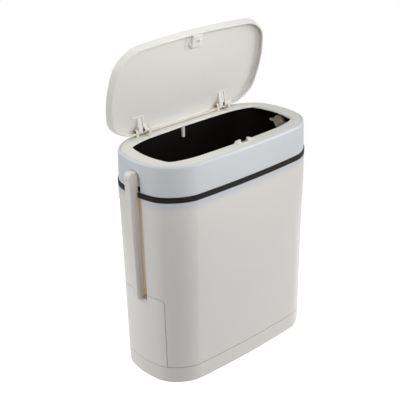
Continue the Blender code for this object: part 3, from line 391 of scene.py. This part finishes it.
# Camera at the photograph's viewing angle: place in mm, lens in mm on a 36 mm sensor
cameraSet = dict(place=(-851.16, -906.0, 806.28), lens=84.3, sensor=36.0, near=0.05,
                 right=(0.73511, -0.67769, -0.0174), up=(0.29612, 0.29798, 0.90747))


# Camera turned by its right and up directions, with up made square to right
def makeCamera():
    data = bpy.data.cameras.new("camera")
    data.lens = cameraSet["lens"]
    data.sensor_width = cameraSet["sensor"]
    data.clip_start = cameraSet["near"]
    camera = bpy.data.objects.new("camera", data)
    bpy.context.scene.collection.objects.link(camera)
    right, up = Vector(cameraSet["right"]).normalized(), Vector(cameraSet["up"])
    up = (up - right * up.dot(right)).normalized()
    turn = Matrix((right, up, right.cross(up))).transposed()
    camera.matrix_world = Matrix.Translation(Vector(cameraSet["place"]) * mm) @ turn.to_4x4()
    bpy.context.scene.camera = camera


makeCamera()

# The left end: a bay behind the cover, and a channel for the handle
leftEnd = dict(coverHalf=42.8, coverTop=136.6, coverCorner=6.0, coverWall=2.5, coverGap=0.8, coverSeat=0.3, wall=2.5,
               lintel=1.4, bayHalf=39.0, bayBack=-76.0, bayFloor=30.0, bayRoof=125.0,
               channelHalf=16.0, channelBack=-136.0, channelFloor=129.0, channelTop=323.0, channelWall=2.3,
               channelRound=2.5, archHalf=13.5, archRound=12.0, archBackRound=2.0, reach=-166.0, bandHalf=9.5)


# A channel cut in from the left end, half as wide as said, with soft corners at its back
def channelTool(z, half):
    e = leftEnd
    profile = softPolygon([(e["reach"], -half), (e["channelBack"], -half), (e["channelBack"], half),
                           (e["reach"], half)], [0, e["channelRound"], e["channelRound"], 0], 6)
    return carried("tool", profile, "Z", z[0], z[1])


# A window with two round upper corners, as points across and up
def windowProfile(half, top, bottom, corner):
    return ([(half, bottom)] + arcPoints((half - corner, top - corner), corner, 0, 90, 8)
            + arcPoints((-half + corner, top - corner), corner, 90, 180, 8) + [(-half, bottom)])


# Shell values: floor thickness and soft edges
shellSet = dict(floor=3.0, footRound=0.9, lipRound=0.7)


# Outer shell: the tapered wall as a closed pot, less the cover's window, the bay and the channel
def makeShell():
    e, s = leftEnd, shellSet
    low, high = (v.z / mm for v in map(Vector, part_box("outer_shell")))
    wall, floor = e["wall"], low + s["floor"]
    pot = softened([(middle, low), (0.0, low), (0.0, high), (wall, high)], [s["footRound"], s["lipRound"]])
    shell = loft("shellWall", ringsAt(pot + [(wall, high + over)]))
    inside = loft("tool", ringsAt([(wall, floor), (wall, high + 2 * over)]))
    bayEdge = e["coverHalf"] + e["coverGap"] + e["wall"]
    joinCut(inside, boxPiece("tool", (e["reach"], e["bayBack"] + wall), (-bayEdge, bayEdge),
                             (-over, e["coverTop"] + e["coverGap"] + e["lintel"])))
    edge = e["channelHalf"] + e["wall"]
    joinCut(inside, boxPiece("tool", (e["reach"], e["channelBack"] + e["channelWall"]), (-edge, edge),
                             (e["bayRoof"], high + 3 * over)))
    joinCut(shell, inside)
    joinCut(shell, boxPiece("tool", (-slab, slab), (-slab, slab), (high, high + 3 * over)))
    window = windowProfile(e["coverHalf"] + e["coverGap"], e["coverTop"] + e["coverGap"], low - over,
                           e["coverCorner"] + e["coverGap"])
    pocket = carried("tool", window, "X", e["reach"], e["bayBack"] - wall)
    seat = e["coverWall"] + e["coverSeat"]
    joinCut(pocket, loft("tool", ringsAt([(seat, low - 2 * over), (seat, high)])))
    joinCut(shell, pocket)
    joinCut(shell, boxPiece("tool", (e["reach"], e["bayBack"]), (-e["bayHalf"], e["bayHalf"]),
                            (e["bayFloor"], e["bayRoof"])))
    joinCut(shell, channelTool((e["channelFloor"], high + over), e["channelHalf"]))
    finishPiece(shell, "body", "shell_white", finishes["shell"], "outer_shell")


# Plinth values: tray, pad seats and screw bosses
plinthSet = dict(wall=2.5, floor=3.0, rounds=(1.6, 0.6, 0.5, 1.0), padRadius=8.3, padSeat=1.2, bossRadius=5.6,
                 bossFoot=1.5, headRadius=3.8, headSeat=12.0, holeRadius=2.0)


# Plinth: a low tray with soft edges, seats for its pads and bosses for its screws
def makePlinth():
    s = plinthSet
    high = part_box("base_plinth")[1][2] / mm
    tray = softened([(middle, 0.0), (0.0, 0.0), (0.0, high), (s["wall"], high), (s["wall"], s["floor"]),
                     (middle, s["floor"])], s["rounds"])
    plinth = loft("plinthTray", ringsAt(tray))
    for name in ("base_pad_1", "base_pad_2", "base_pad_3", "base_pad_4"):
        low, top = (np.array(corner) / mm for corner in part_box(name))
        centre = (low + top) / 2
        joinCut(plinth, turned("tool", [(s["padRadius"], -over), (s["padRadius"], s["padSeat"])], "Z", centre[:2]))
    for name in ("plinth_screw_1", "plinth_screw_2", "plinth_screw_3", "plinth_screw_4"):
        low, top = (np.array(corner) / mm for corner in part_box(name))
        centre = (low + top) / 2
        joinCut(plinth, turned("tool", [(s["bossRadius"], s["bossFoot"]), (s["bossRadius"], high)], "Z", centre[:2]),
                "UNION")
        joinCut(plinth, turned("tool", [(s["headRadius"], -over), (s["headRadius"], s["headSeat"]),
                                        (s["holeRadius"], s["headSeat"]), (s["holeRadius"], high + over)], "Z",
                               centre[:2], sides=32))
    finishPiece(plinth, "body", "shell_white", finishes["shell"], "base_plinth")


# Bucket values: insets from the tapered wall, and heights above the bucket's foot or the band
bucketSet = dict(wall=1.8, floor=2.4, margin=1.0, band=7.2, flangeProud=0.2, flangeRound=0.6, shoulder=3.3,
                 rimInset=5.2, top=329.5, lipRound=0.7, footFlat=23.0, foot=12.0, knee=10.0, kneeRise=8.0,
                 outerRounds=(4.0, 3.0), innerFoot=17.0, innerKnee=11.8, innerRounds=(0.2, 4.0, 5.0))


# Bucket: a tapered pot with its flange, stepped round the bay and the channel
def makeBucket():
    e, s = leftEnd, bucketSet
    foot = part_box("inner_bucket")[0][2] / mm
    low, high = bandBottom, bandBottom + s["band"]
    outer = ([(middle, foot)]
             + softened([(s["footFlat"], foot), (s["foot"], foot), (s["knee"], foot + s["kneeRise"]),
                         (s["shoulder"], low)], s["outerRounds"])
             + softened([(s["shoulder"], low), (-s["flangeProud"], low), (-s["flangeProud"], high),
                         (s["rimInset"], high)], [s["flangeRound"]] * 2)[1:]
             + softened([(s["rimInset"], high), (s["rimInset"], s["top"]), (s["rimInset"] + s["wall"], s["top"])],
                        [s["lipRound"]]))
    neck, floor = s["rimInset"] + s["wall"], foot + s["floor"]
    inner = softened([(neck, s["top"]), (neck, low), (s["innerKnee"], floor + s["kneeRise"]),
                      (s["innerFoot"], floor), (middle, floor)], s["innerRounds"])
    bucket = loft("bucketWall", ringsAt(outer))
    filled = loft("tool", ringsAt([(neck, s["top"] + over)] + inner[1:]))
    margin = s["margin"]
    bayX, bayY = e["bayBack"] + e["wall"] + margin, e["coverHalf"] + e["coverGap"] + e["wall"] + margin
    bayTop = e["coverTop"] + e["coverGap"] + e["lintel"] + margin
    stepX, stepY = e["channelBack"] + e["channelWall"] + margin, e["channelHalf"] + e["wall"] + margin
    w = s["wall"]
    joinCut(filled, boxPiece("tool", (e["reach"], bayX + w), (-bayY - w, bayY + w), (-over, bayTop + w)))
    joinCut(filled, boxPiece("tool", (e["reach"], stepX + w), (-stepY - w, stepY + w), (over, s["top"] + 3 * over)))
    joinCut(bucket, boxPiece("tool", (e["reach"], bayX), (-bayY, bayY), (-over, bayTop)))
    joinCut(bucket, boxPiece("tool", (e["reach"], stepX), (-stepY, stepY), (over, low)))
    joinCut(bucket, boxPiece("tool", (e["reach"], stepX), (-stepY, stepY), (high, s["top"] + over)))
    joinCut(bucket, channelTool((low - over, high + over), e["bandHalf"]))
    joinCut(bucket, filled)
    finishPiece(bucket, "bucket", "bucket_black", finishes["bucket"], "inner_bucket")


# Collar values: insets from the band's outline, the ledge that carries the rim, and the rooms cut in it
collarSet = dict(bottomInset=1.1, topInset=2.3, wall=2.2, footRound=0.7, round=4.4, ledge=12.0, ledgeHeight=332.3,
                 ledgeWall=2.0, seatInset=6.2, latchRoom=((-8.0, 10.0), (-64.5, -50.0)),
                 pegRoom=((-2.9, 2.9), (60.0, 68.3)))


# Collar: the outer wall with a soft top edge, a ledge inside it, and the channel's arched roof
def makeCollar():
    e, s = leftEnd, collarSet
    low, high = (corner[2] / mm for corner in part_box("collar_shell"))
    ledge, deck = s["ledgeHeight"], s["ledgeHeight"] + s["ledgeWall"]
    outside = softened([(middle, low), (s["bottomInset"], low), (s["topInset"], high), (middle, high)],
                       [s["footRound"], s["round"]], 8)
    collar = loft("collarWall", ringsAt(outside, plans["wall"]))
    steps = [(s["bottomInset"] + s["wall"], low - over), (s["topInset"] + s["wall"], ledge), (s["ledge"], ledge),
             (s["ledge"], deck), (s["seatInset"], deck), (s["seatInset"], high + over)]
    inside = loft("tool", ringsAt(steps, plans["wall"]))
    edge = e["channelHalf"] + e["wall"]
    joinCut(inside, boxPiece("tool", (e["reach"], e["channelBack"] + e["channelWall"]), (-edge, edge),
                             (low - 2 * over, ledge + s["ledgeWall"] / 2)))
    joinCut(collar, inside)
    arch = windowProfile(e["archHalf"], e["channelTop"], low - over, e["archRound"])
    joinCut(collar, carried("tool", arch, "X", e["reach"], e["channelBack"], soft=e["archBackRound"]))
    for room in (s["latchRoom"], s["pegRoom"]):
        joinCut(collar, boxPiece("tool", *room, (ledge - over, ledge + over / 2)))
    finishPiece(collar, "collar", "shell_white", finishes["collar"], "collar_shell")


# Rim frame values: insets of the outer edge and the lip, lugs and bosses along the hinge, and its openings
rimSet = dict(top=337.7, bottom=334.9, edgeInset=6.5, plateInset=12.0, edgeDrop=0.25, edgeRounds=(0.2, 0.6),
              lipReach=7.0, lipFlat=1.6, lipDrop=0.3, lipFace=1.6, lipFoot=3.0, lipRounds=(3.0, 1.2, 0.4),
              lugRadius=3.4, lugGap=0.4, lug=4.0, lugHeel=1.4, lugRoot=0.8, lugSoft=0.4, pinRadius=2.3,
              bossStart=69.0, bossEnd=87.0, slotStart=75.6, slotEnd=79.8, slitX=76.45, slitWidth=1.4,
              slitReach=(50.8, 62.0), padX=42.0, padHalf=9.3, padReach=(61.2, 66.8), padRound=1.5, padSeat=1.2,
              latchHole=((-5.5, 7.5), (-62.0, -55.6)), notchReach=(-55.4, -45.0))


# One ring of the rim at a height, on the wall's outline or on the mouth's
def mixedRing(station):
    kind, inset, z = station
    flat = outline(plans[kind], inset)
    return np.column_stack((flat, np.full(len(flat), z)))


# Rim frame: a plate round the mouth with a rolled lip, hinge lugs, spring slits, pad seats and the latch slot
def makeRim():
    s = rimSet
    top, bottom = s["top"], s["bottom"]
    edge = [("wall", inset, z) for inset, z in softened(
        [(s["plateInset"], bottom), (s["edgeInset"], bottom), (s["edgeInset"], top - s["edgeDrop"]),
         (s["plateInset"], top)], s["edgeRounds"], 3)[1:]]
    lip = [("mouth", inset, z) for inset, z in softened(
        [(-s["lipReach"], top), (-s["lipFlat"], top - s["lipDrop"]), (0.0, top - s["lipFace"]), (0.0, bottom),
         (-s["lipFoot"], bottom)], s["lipRounds"], 6)]
    rim = loft("rimFrame", np.array([mixedRing(station) for station in edge + lip]), loop=True)
    for side in (-1, 1):
        for start in (s["bossStart"] - s["lugGap"] - s["lug"], s["bossEnd"] + s["lugGap"]):
            profile = ([(hinge["y"] + s["lugHeel"], top - s["lugRoot"])]
                       + arcPoints((hinge["y"], hinge["z"]), s["lugRadius"], -25, 180, 16)
                       + [(hinge["y"] - s["lugRadius"], top - s["lugRoot"])])
            joinCut(rim, carried("tool", profile, "X", side * start, side * (start + s["lug"]), soft=s["lugSoft"]),
                    "UNION")
    reach = s["bossEnd"] + 2 * over
    joinCut(rim, turned("tool", [(s["pinRadius"], -reach), (s["pinRadius"], reach)], "X", (hinge["y"], hinge["z"]),
                        sides=32))
    through = (bottom - over, top + over)
    for side in (-1, 1):
        slit = side * s["slitX"]
        joinCut(rim, boxPiece("tool", (slit - s["slitWidth"] / 2, slit + s["slitWidth"] / 2), s["slitReach"], through))
        x, half, (near, far) = side * s["padX"], s["padHalf"], s["padReach"]
        pad = softPolygon([(x - half, near), (x + half, near), (x + half, far), (x - half, far)], s["padRound"])
        joinCut(rim, carried("tool", pad, "Z", top - s["padSeat"], top + over))
    joinCut(rim, boxPiece("tool", *s["latchHole"], through))
    joinCut(rim, boxPiece("tool", latchSet["notch"], s["notchReach"], through))
    finishPiece(rim, "collar", "rim_white", finishes["rim"], "top_frame")


# Lid values: heights when it is shut, the bosses about the hinge, and the ledges under the bosses
lidSet = dict(face=351.1, lip=340.7, lipInset=2.7, edgeInset=0.3, edgeRise=1.5, faceInset=4.0, wall=2.2, plate=2.8,
              outerRounds=(0.7, 2.0, 1.4), lipFlare=0.8, lipSlope=0.6, wallSlope=0.4, innerRounds=(0.5, 2.4),
              cornerFlat=14.0, faceShare=0.95, ceilingShare=0.78, centreShare=0.05, centreY=0.1, crown=0.9, stop=338.6,
              lugRoom=0.5, lugReach=(-6.0, 11.0), bossReach=20.0, bossHeel=5.5, bossRadius=4.0, bossArc=(250, 330),
              bossRoot=0.9, bossFoot=0.2, heelDrop=0.5, kneeReach=5.5, kneeDrop=1.0, bridgeReach=4.6, bridgeDrop=2.6,
              slit=0.9, cheekEnd=83.0, bossSoft=0.4, ledges=((-97.0, -75.0), (63.5, 88.5)), ledgeRoot=0.5,
              ledgeProud=1.6, ledgeFoot=1.3, ledgeDrop=1.1, ledgeSoft=0.3)


# The lid is drawn shut about the hinge and turned open: a turn by -openDegrees about X
def lidPlace():
    turn = Matrix.Rotation(-math.radians(hinge["openDegrees"]), 4, "X")
    return Matrix.Translation((0, hinge["y"] * mm, hinge["z"] * mm)) @ turn


# Rings of the lid at (inset, z) stations, from the hinge
def lidRings(stations):
    rings = ringsAt(stations, plans["lid"])
    return rings + np.array([0.0, lidSet["centreY"] - hinge["y"], -hinge["z"]])


# A face filled by the outline shrunk to a share k of itself, raised by crown (1 - k^2)
def shrunkRings(z, first, crown=0.0):
    base = lidRings([(0.0, z)])[0]
    centre = np.array([0.0, lidSet["centreY"] - hinge["y"], 0.0])
    rings = []
    for k in np.linspace(first, lidSet["centreShare"], 12):
        ring = (base - centre) * [k, k, 1] + centre
        ring[:, 2] += crown * (1 - k * k)
        rings.append(ring)
    return np.array(rings)


# Lid: a crowned tray, hollowed from below, with hinge bosses, their slits and ledges, and a flat rear stop
def makeLid():
    s, r = lidSet, rimSet
    place = lidPlace()
    rounding = softened([(s["lipInset"] + s["wall"], s["lip"]), (s["lipInset"], s["lip"]),
                         (0.0, s["face"] - s["edgeRise"]), (s["edgeInset"], s["face"]), (s["faceInset"], s["face"])],
                        s["outerRounds"], 5)
    outer = np.concatenate([lidRings(rounding[1:-1]), shrunkRings(s["face"], s["faceShare"], s["crown"])])
    lid = loft("lidTray", outer, place=place)
    lip, ceiling, slope = s["lipInset"] + s["wall"], s["face"] - s["plate"], s["lipSlope"]
    cavity = [(lip - s["lipFlare"], s["lip"] - over)] + softened(
        [(lip - slope, s["lip"] - slope), (lip, s["lip"] + slope), (s["wall"] + s["wallSlope"], ceiling),
         (s["cornerFlat"], ceiling)], s["innerRounds"], 6)[1:]
    hollow = np.concatenate([lidRings(cavity), shrunkRings(ceiling, s["ceilingShare"])])
    joinCut(lid, loft("tool", hollow, place=place))
    inner = ceiling - hinge["z"]
    lug = r["lugGap"] + r["lug"] + s["lugRoom"]
    room = (r["bossStart"] - lug, r["bossEnd"] + lug)
    for side in (-1, 1):
        joinCut(lid, boxPiece("tool", sorted((side * room[0], side * room[1])), s["lugReach"],
                              (s["lip"] - over - hinge["z"], inner), place=place))
    root, foot, reach, knee = inner + s["bossRoot"], inner - s["bossFoot"], -s["bossReach"], -s["kneeReach"]
    heel = arcPoints((0.0, 0.0), s["bossRadius"], *s["bossArc"], 14) + [(s["bossHeel"], inner - s["heelDrop"])]
    tall = [(s["bossHeel"], root), (reach, root), (reach, foot)] + heel
    low = [(s["bossHeel"], root), (knee, root), (knee, inner - s["kneeDrop"])] + heel
    bridge = [(-s["bridgeReach"], root), (reach, root), (reach, foot), (-s["bridgeReach"], -s["bridgeDrop"])]
    for shape, start, end in ((tall, -r["bossEnd"], -r["slotEnd"]),
                              (bridge, s["slit"] - r["slotEnd"], -r["slotStart"]),
                              (low, -r["slotStart"], -r["bossStart"]), (tall, r["bossStart"], r["slotStart"]),
                              (bridge, r["slotStart"], r["slotEnd"] - s["slit"]), (tall, r["slotEnd"], s["cheekEnd"]),
                              (low, s["cheekEnd"], r["bossEnd"])):
        joinCut(lid, carried("tool", shape, "X", start, end, soft=s["bossSoft"], place=place), "UNION")
    for start, end in s["ledges"]:
        shelf = softPolygon([(reach, inner + s["ledgeRoot"]), (reach - s["ledgeProud"], inner + s["ledgeRoot"]),
                             (reach - s["ledgeFoot"], inner - s["ledgeDrop"]), (reach, inner - s["ledgeDrop"])],
                            [0, 0, 0.5, 0.5])
        joinCut(lid, carried("tool", shelf, "X", start, end, soft=s["ledgeSoft"], place=place), "UNION")
    for side in (-1, 1):
        joinCut(lid, turned("tool", [(r["pinRadius"], side * (r["bossStart"] - over)),
                                     (r["pinRadius"], side * (r["bossEnd"] + over))], "X", sides=32, place=place))
    joinCut(lid, boxPiece("tool", (-slab, slab), (0, slab), (s["stop"] - slab, s["stop"])))
    finishPiece(lid, "lid", "shell_white", finishes["lid"], "lid_shell")


# Handle values: the bar's outer and inner faces at its top and its foot, and a small dot near its top
handleSet = dict(half=5.7, outer=-160.2, inner=-145.6, footOuter=-155.7, footInner=-142.2, top=322.0, topRound=10.5,
                 heelRound=4.5, footRound=3.0, soft=1.3, footGap=0.3, footRise=0.9, rootDepth=1.25, rootDrop=4.3,
                 notchRise=0.5, coverOverrun=2.0, dotHeight=312.0, dotRadius=1.2, dotDepth=1.6)


# Handle and cover in one moulding: the cover is a slice of the wall, the bar stands on it
def makeHandle():
    e, s = leftEnd, handleSet
    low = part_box("brush_handle")[0][2] / mm
    cover = loft("brushCover", ringsAt([(0.0, low), (0.0, e["coverTop"] + s["coverOverrun"])]))
    joinCut(cover, carried("tool", windowProfile(e["coverHalf"], e["coverTop"], low - over, e["coverCorner"]),
                           "X", e["reach"], e["bayBack"] - e["wall"]), "INTERSECT")
    joinCut(cover, loft("tool", ringsAt([(e["coverWall"], low - over), (e["coverWall"], e["coverTop"] + over)])))
    foot = e["channelFloor"] + s["footGap"]
    joinCut(cover, boxPiece("tool", (e["reach"], e["channelBack"]), (-e["channelHalf"], e["channelHalf"]),
                            (foot + s["notchRise"], e["coverTop"] + over)))
    wallX = -planAt(foot)["halfLength"]
    root = wallX + s["rootDepth"]
    side = softPolygon([(s["footOuter"], foot + s["footRise"]), (s["outer"], s["top"]), (s["inner"], s["top"]),
                        (s["footInner"], foot), (root, foot), (root, foot - s["rootDrop"]),
                        (wallX, foot - s["rootDrop"])], [s["footRound"], s["topRound"], s["heelRound"], 0, 0, 0, 0], 8)
    bar = carried("tool", side, "Y", -s["half"], s["half"], soft=s["soft"])
    joinCut(bar, turned("tool", [(s["dotRadius"], s["outer"] - over), (s["dotRadius"], s["outer"] + s["dotDepth"])],
                        "X", (0.0, s["dotHeight"]), sides=24))
    joinCut(cover, bar, "UNION", "MANIFOLD")
    cover.name = "brushCover"
    finishPiece(cover, "brush", "shell_white", finishes["handle"], "brush_handle")


# Latch values: (x, share of the full height) along the housing, and the notch that shows the slider
latchSet = dict(stations=((-12.5, 0.02), (-11.2, 0.6), (-10.2, 0.92), (-8.5, 1.0), (12.5, 1.0), (14.0, 0.86),
                          (20.5, 0.04)), front=-64.0, crest=-57.5, back=-53.0, lip=0.4, height=3.4, lift=0.05,
                rounds=(0, 0.3, 3.0, 0.9, 0), notch=(-1.8, 11.2), notchReach=(-56.6, -50.0))


# Latch housing: a bump on the rim, whose profile in (y, z) is scaled by h(x) along its length
def makeLatch():
    s = latchSet
    foot = rimSet["top"] + s["lift"]
    profile = np.array(softPolygon([(s["front"], 0.0), (s["front"], s["lip"]), (s["crest"], s["height"]),
                                    (s["back"], s["height"]), (s["back"], 0.0)], s["rounds"], 5))
    rings = np.array([np.column_stack((np.full(len(profile), x), profile[:, 0], foot + profile[:, 1] * h))
                      for x, h in s["stations"]])
    housing = loft("latchHousing", rings)
    for room in (rimSet["latchHole"], (s["notch"], s["notchReach"])):
        joinCut(housing, boxPiece("tool", *room, (foot - over, foot + over)))
    finishPiece(housing, "collar", "rim_white", finishes["rim"], "latch_housing")


# Hook values: places along the lid, distances from the hinge, and heights below the lid's ceiling
hookSet = dict(plate=(-14.5, 14.5), plateReach=(108.0, 131.5), plateRoot=0.2, plateProud=1.0, plateSoft=0.5,
               block=(-6.5, 11.5), blockReach=(110.5, 131.0), proud=6.2, blockSoft=1.8, root=0.5,
               tongue=(2.5, 6.5), tongueReach=(120.6, 123.2, 125.2), tongueProud=9.8, barb=(2.4, 1.2), barbHeel=1.0,
               tongueRound=0.5, tongueSoft=0.25)


# The lid's hook: a rounded block on its plate, with the tongue that the latch holds
def makeHook():
    s = hookSet
    place = lidPlace()
    ceiling = lidSet["face"] - lidSet["plate"] - hinge["z"]
    near, far = s["plateReach"]
    high, low = ceiling + s["plateRoot"], ceiling - s["plateProud"]
    plate = softPolygon([(-near, high), (-far, high), (-far, low), (-near, low)], [0, 0, 0.6, 0.8], 4)
    hook = carried("lidHook", plate, "X", *s["plate"], soft=s["plateSoft"], place=place)
    near, far = s["blockReach"]
    root, low = ceiling - s["root"], ceiling - s["proud"]
    block = softPolygon([(-near, root), (-far, root), (-far, low), (-near, low)], [0, 0, 3.0, 4.0], 6)
    joinCut(hook, carried("tool", block, "X", *s["block"], soft=s["blockSoft"], steps=5, place=place), "UNION")
    heel, face, tip = s["tongueReach"]
    low, (barbTop, barbFoot) = ceiling - s["tongueProud"], s["barb"]
    tongue = softPolygon([(-heel, root), (-face, root), (-face, low + barbTop), (-tip, low + barbFoot),
                          (s["barbHeel"] - tip, low), (-heel, low)], s["tongueRound"], 3)
    joinCut(hook, carried("tool", tongue, "X", *s["tongue"], soft=s["tongueSoft"], place=place), "UNION")
    finishPiece(hook, "lid", "rim_white", finishes["fitting"], "lid_hook")


# The CAD nodes that stay as they are, by finish
nodeFinishes = {
    "pad": ["base_pad_1", "base_pad_2", "base_pad_3", "base_pad_4"],
    "steel": ["plinth_screw_1", "plinth_screw_2", "plinth_screw_3", "plinth_screw_4", "frame_screw_1",
              "frame_screw_2", "frame_screw_3", "frame_screw_4", "hinge_pin_left", "hinge_pin_right",
              "hinge_spring_left", "hinge_spring_right", "latch_spring"],
    "rim": ["latch_cover", "bag_peg", "rim_pad_1", "rim_pad_2"],
    "latch": ["latch_slider"],
    "clip": ["clip_right", "clip_left", "clip_pin_right", "clip_pin_left"],
    "fitting": ["hook_screw_1", "hook_screw_2", "drip_cup"],
    "shell": ["brush_neck"],
    "brush": ["brush_head"],
}


# Gives each kept CAD node its finish
def dressNodes():
    for finish, names in nodeFinishes.items():
        for name in names:
            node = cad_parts[name]
            node.data.materials.clear()
            node.data.materials.append(finishes[finish])


# Studio values: lamp places and aims in metres, and their power in watts
studio = dict(floorRadius=0.55, floorColour=(0.9, 0.9, 0.9, 1), floorGlow=0.85, floorRoughness=0.9, world=0.46,
              lamps={"right softbox": dict(place=(2.3, -1.8, 0.9), aim=(0, 0, 0.15), size=1.6, watts=37.5),
                     "left softbox": dict(place=(-1.4, 1.35, 1.25), aim=(0, 0, 0.3), size=1.0, watts=15.5),
                     "top softbox": dict(place=(0.2, -0.5, 2.8), aim=(0, 0, 0.3), size=1.4, watts=9.0),
                     "lid light": dict(place=(-0.5, -1.5, 1.2), aim=(0, 0.06, 0.43), size=0.3, watts=0.16,
                                       spread=16.0)})


# White paper floor: it keeps the object's shadow and is white where nothing shades it
def floorMaterial():
    material = bpy.data.materials.new("white paper sweep")
    material.use_nodes = True
    shader = material.node_tree.nodes["Principled BSDF"]
    for key, value in {"Base Color": studio["floorColour"], "Emission Color": (1, 1, 1, 1),
                       "Emission Strength": studio["floorGlow"], "Roughness": studio["floorRoughness"],
                       "Specular IOR Level": 0.0}.items():
        shader.inputs[key].default_value = value
    return material


# Studio: a pale floor, a white ground that the camera sees brighter than the object does, and four lamps
def makeStudio():
    scene = bpy.context.scene
    scene.view_settings.view_transform = "Standard"
    world = bpy.data.worlds.new("studio")
    scene.world = world
    world.use_nodes = True
    tree = world.node_tree
    background = tree.nodes["Background"]
    rays = addNode(tree, "ShaderNodeLightPath")
    strength = addNode(tree, "ShaderNodeMapRange", None, {"To Min": studio["world"], "To Max": 1.0},
                       {"Value": rays.outputs["Is Camera Ray"]})
    background.inputs["Color"].default_value = (1, 1, 1, 1)
    tree.links.new(strength.outputs["Result"], background.inputs["Strength"])
    t = np.linspace(0, 2 * math.pi, 96, endpoint=False)
    rim = studio["floorRadius"] * np.column_stack((np.cos(t), np.sin(t), 0 * t))
    floor = makePiece("floor", rim.tolist(), [list(range(96))])
    floor.data.materials.append(floorMaterial())
    floor.visible_diffuse = False
    for name, lamp in studio["lamps"].items():
        data = bpy.data.lights.new(name, "AREA")
        data.shape = "DISK"
        data.size = lamp["size"]
        data.energy = lamp["watts"]
        thing = bpy.data.objects.new(name, data)
        scene.collection.objects.link(thing)
        thing.location = lamp["place"]
        thing.rotation_euler = (Vector(lamp["place"]) - Vector(lamp["aim"])).to_track_quat("Z", "Y").to_euler()
        if "spread" in lamp:
            data.spread = math.radians(lamp["spread"])


makeShell()
print("shell made")
makePlinth()
print("plinth made")
makeBucket()
print("bucket made")
makeCollar()
print("collar made")
makeRim()
print("rim made")
makeLid()
print("lid made")
makeHandle()
print("handle made")
makeLatch()
makeHook()
print("latch and hook made")
dressNodes()
makeStudio()
print("studio made")
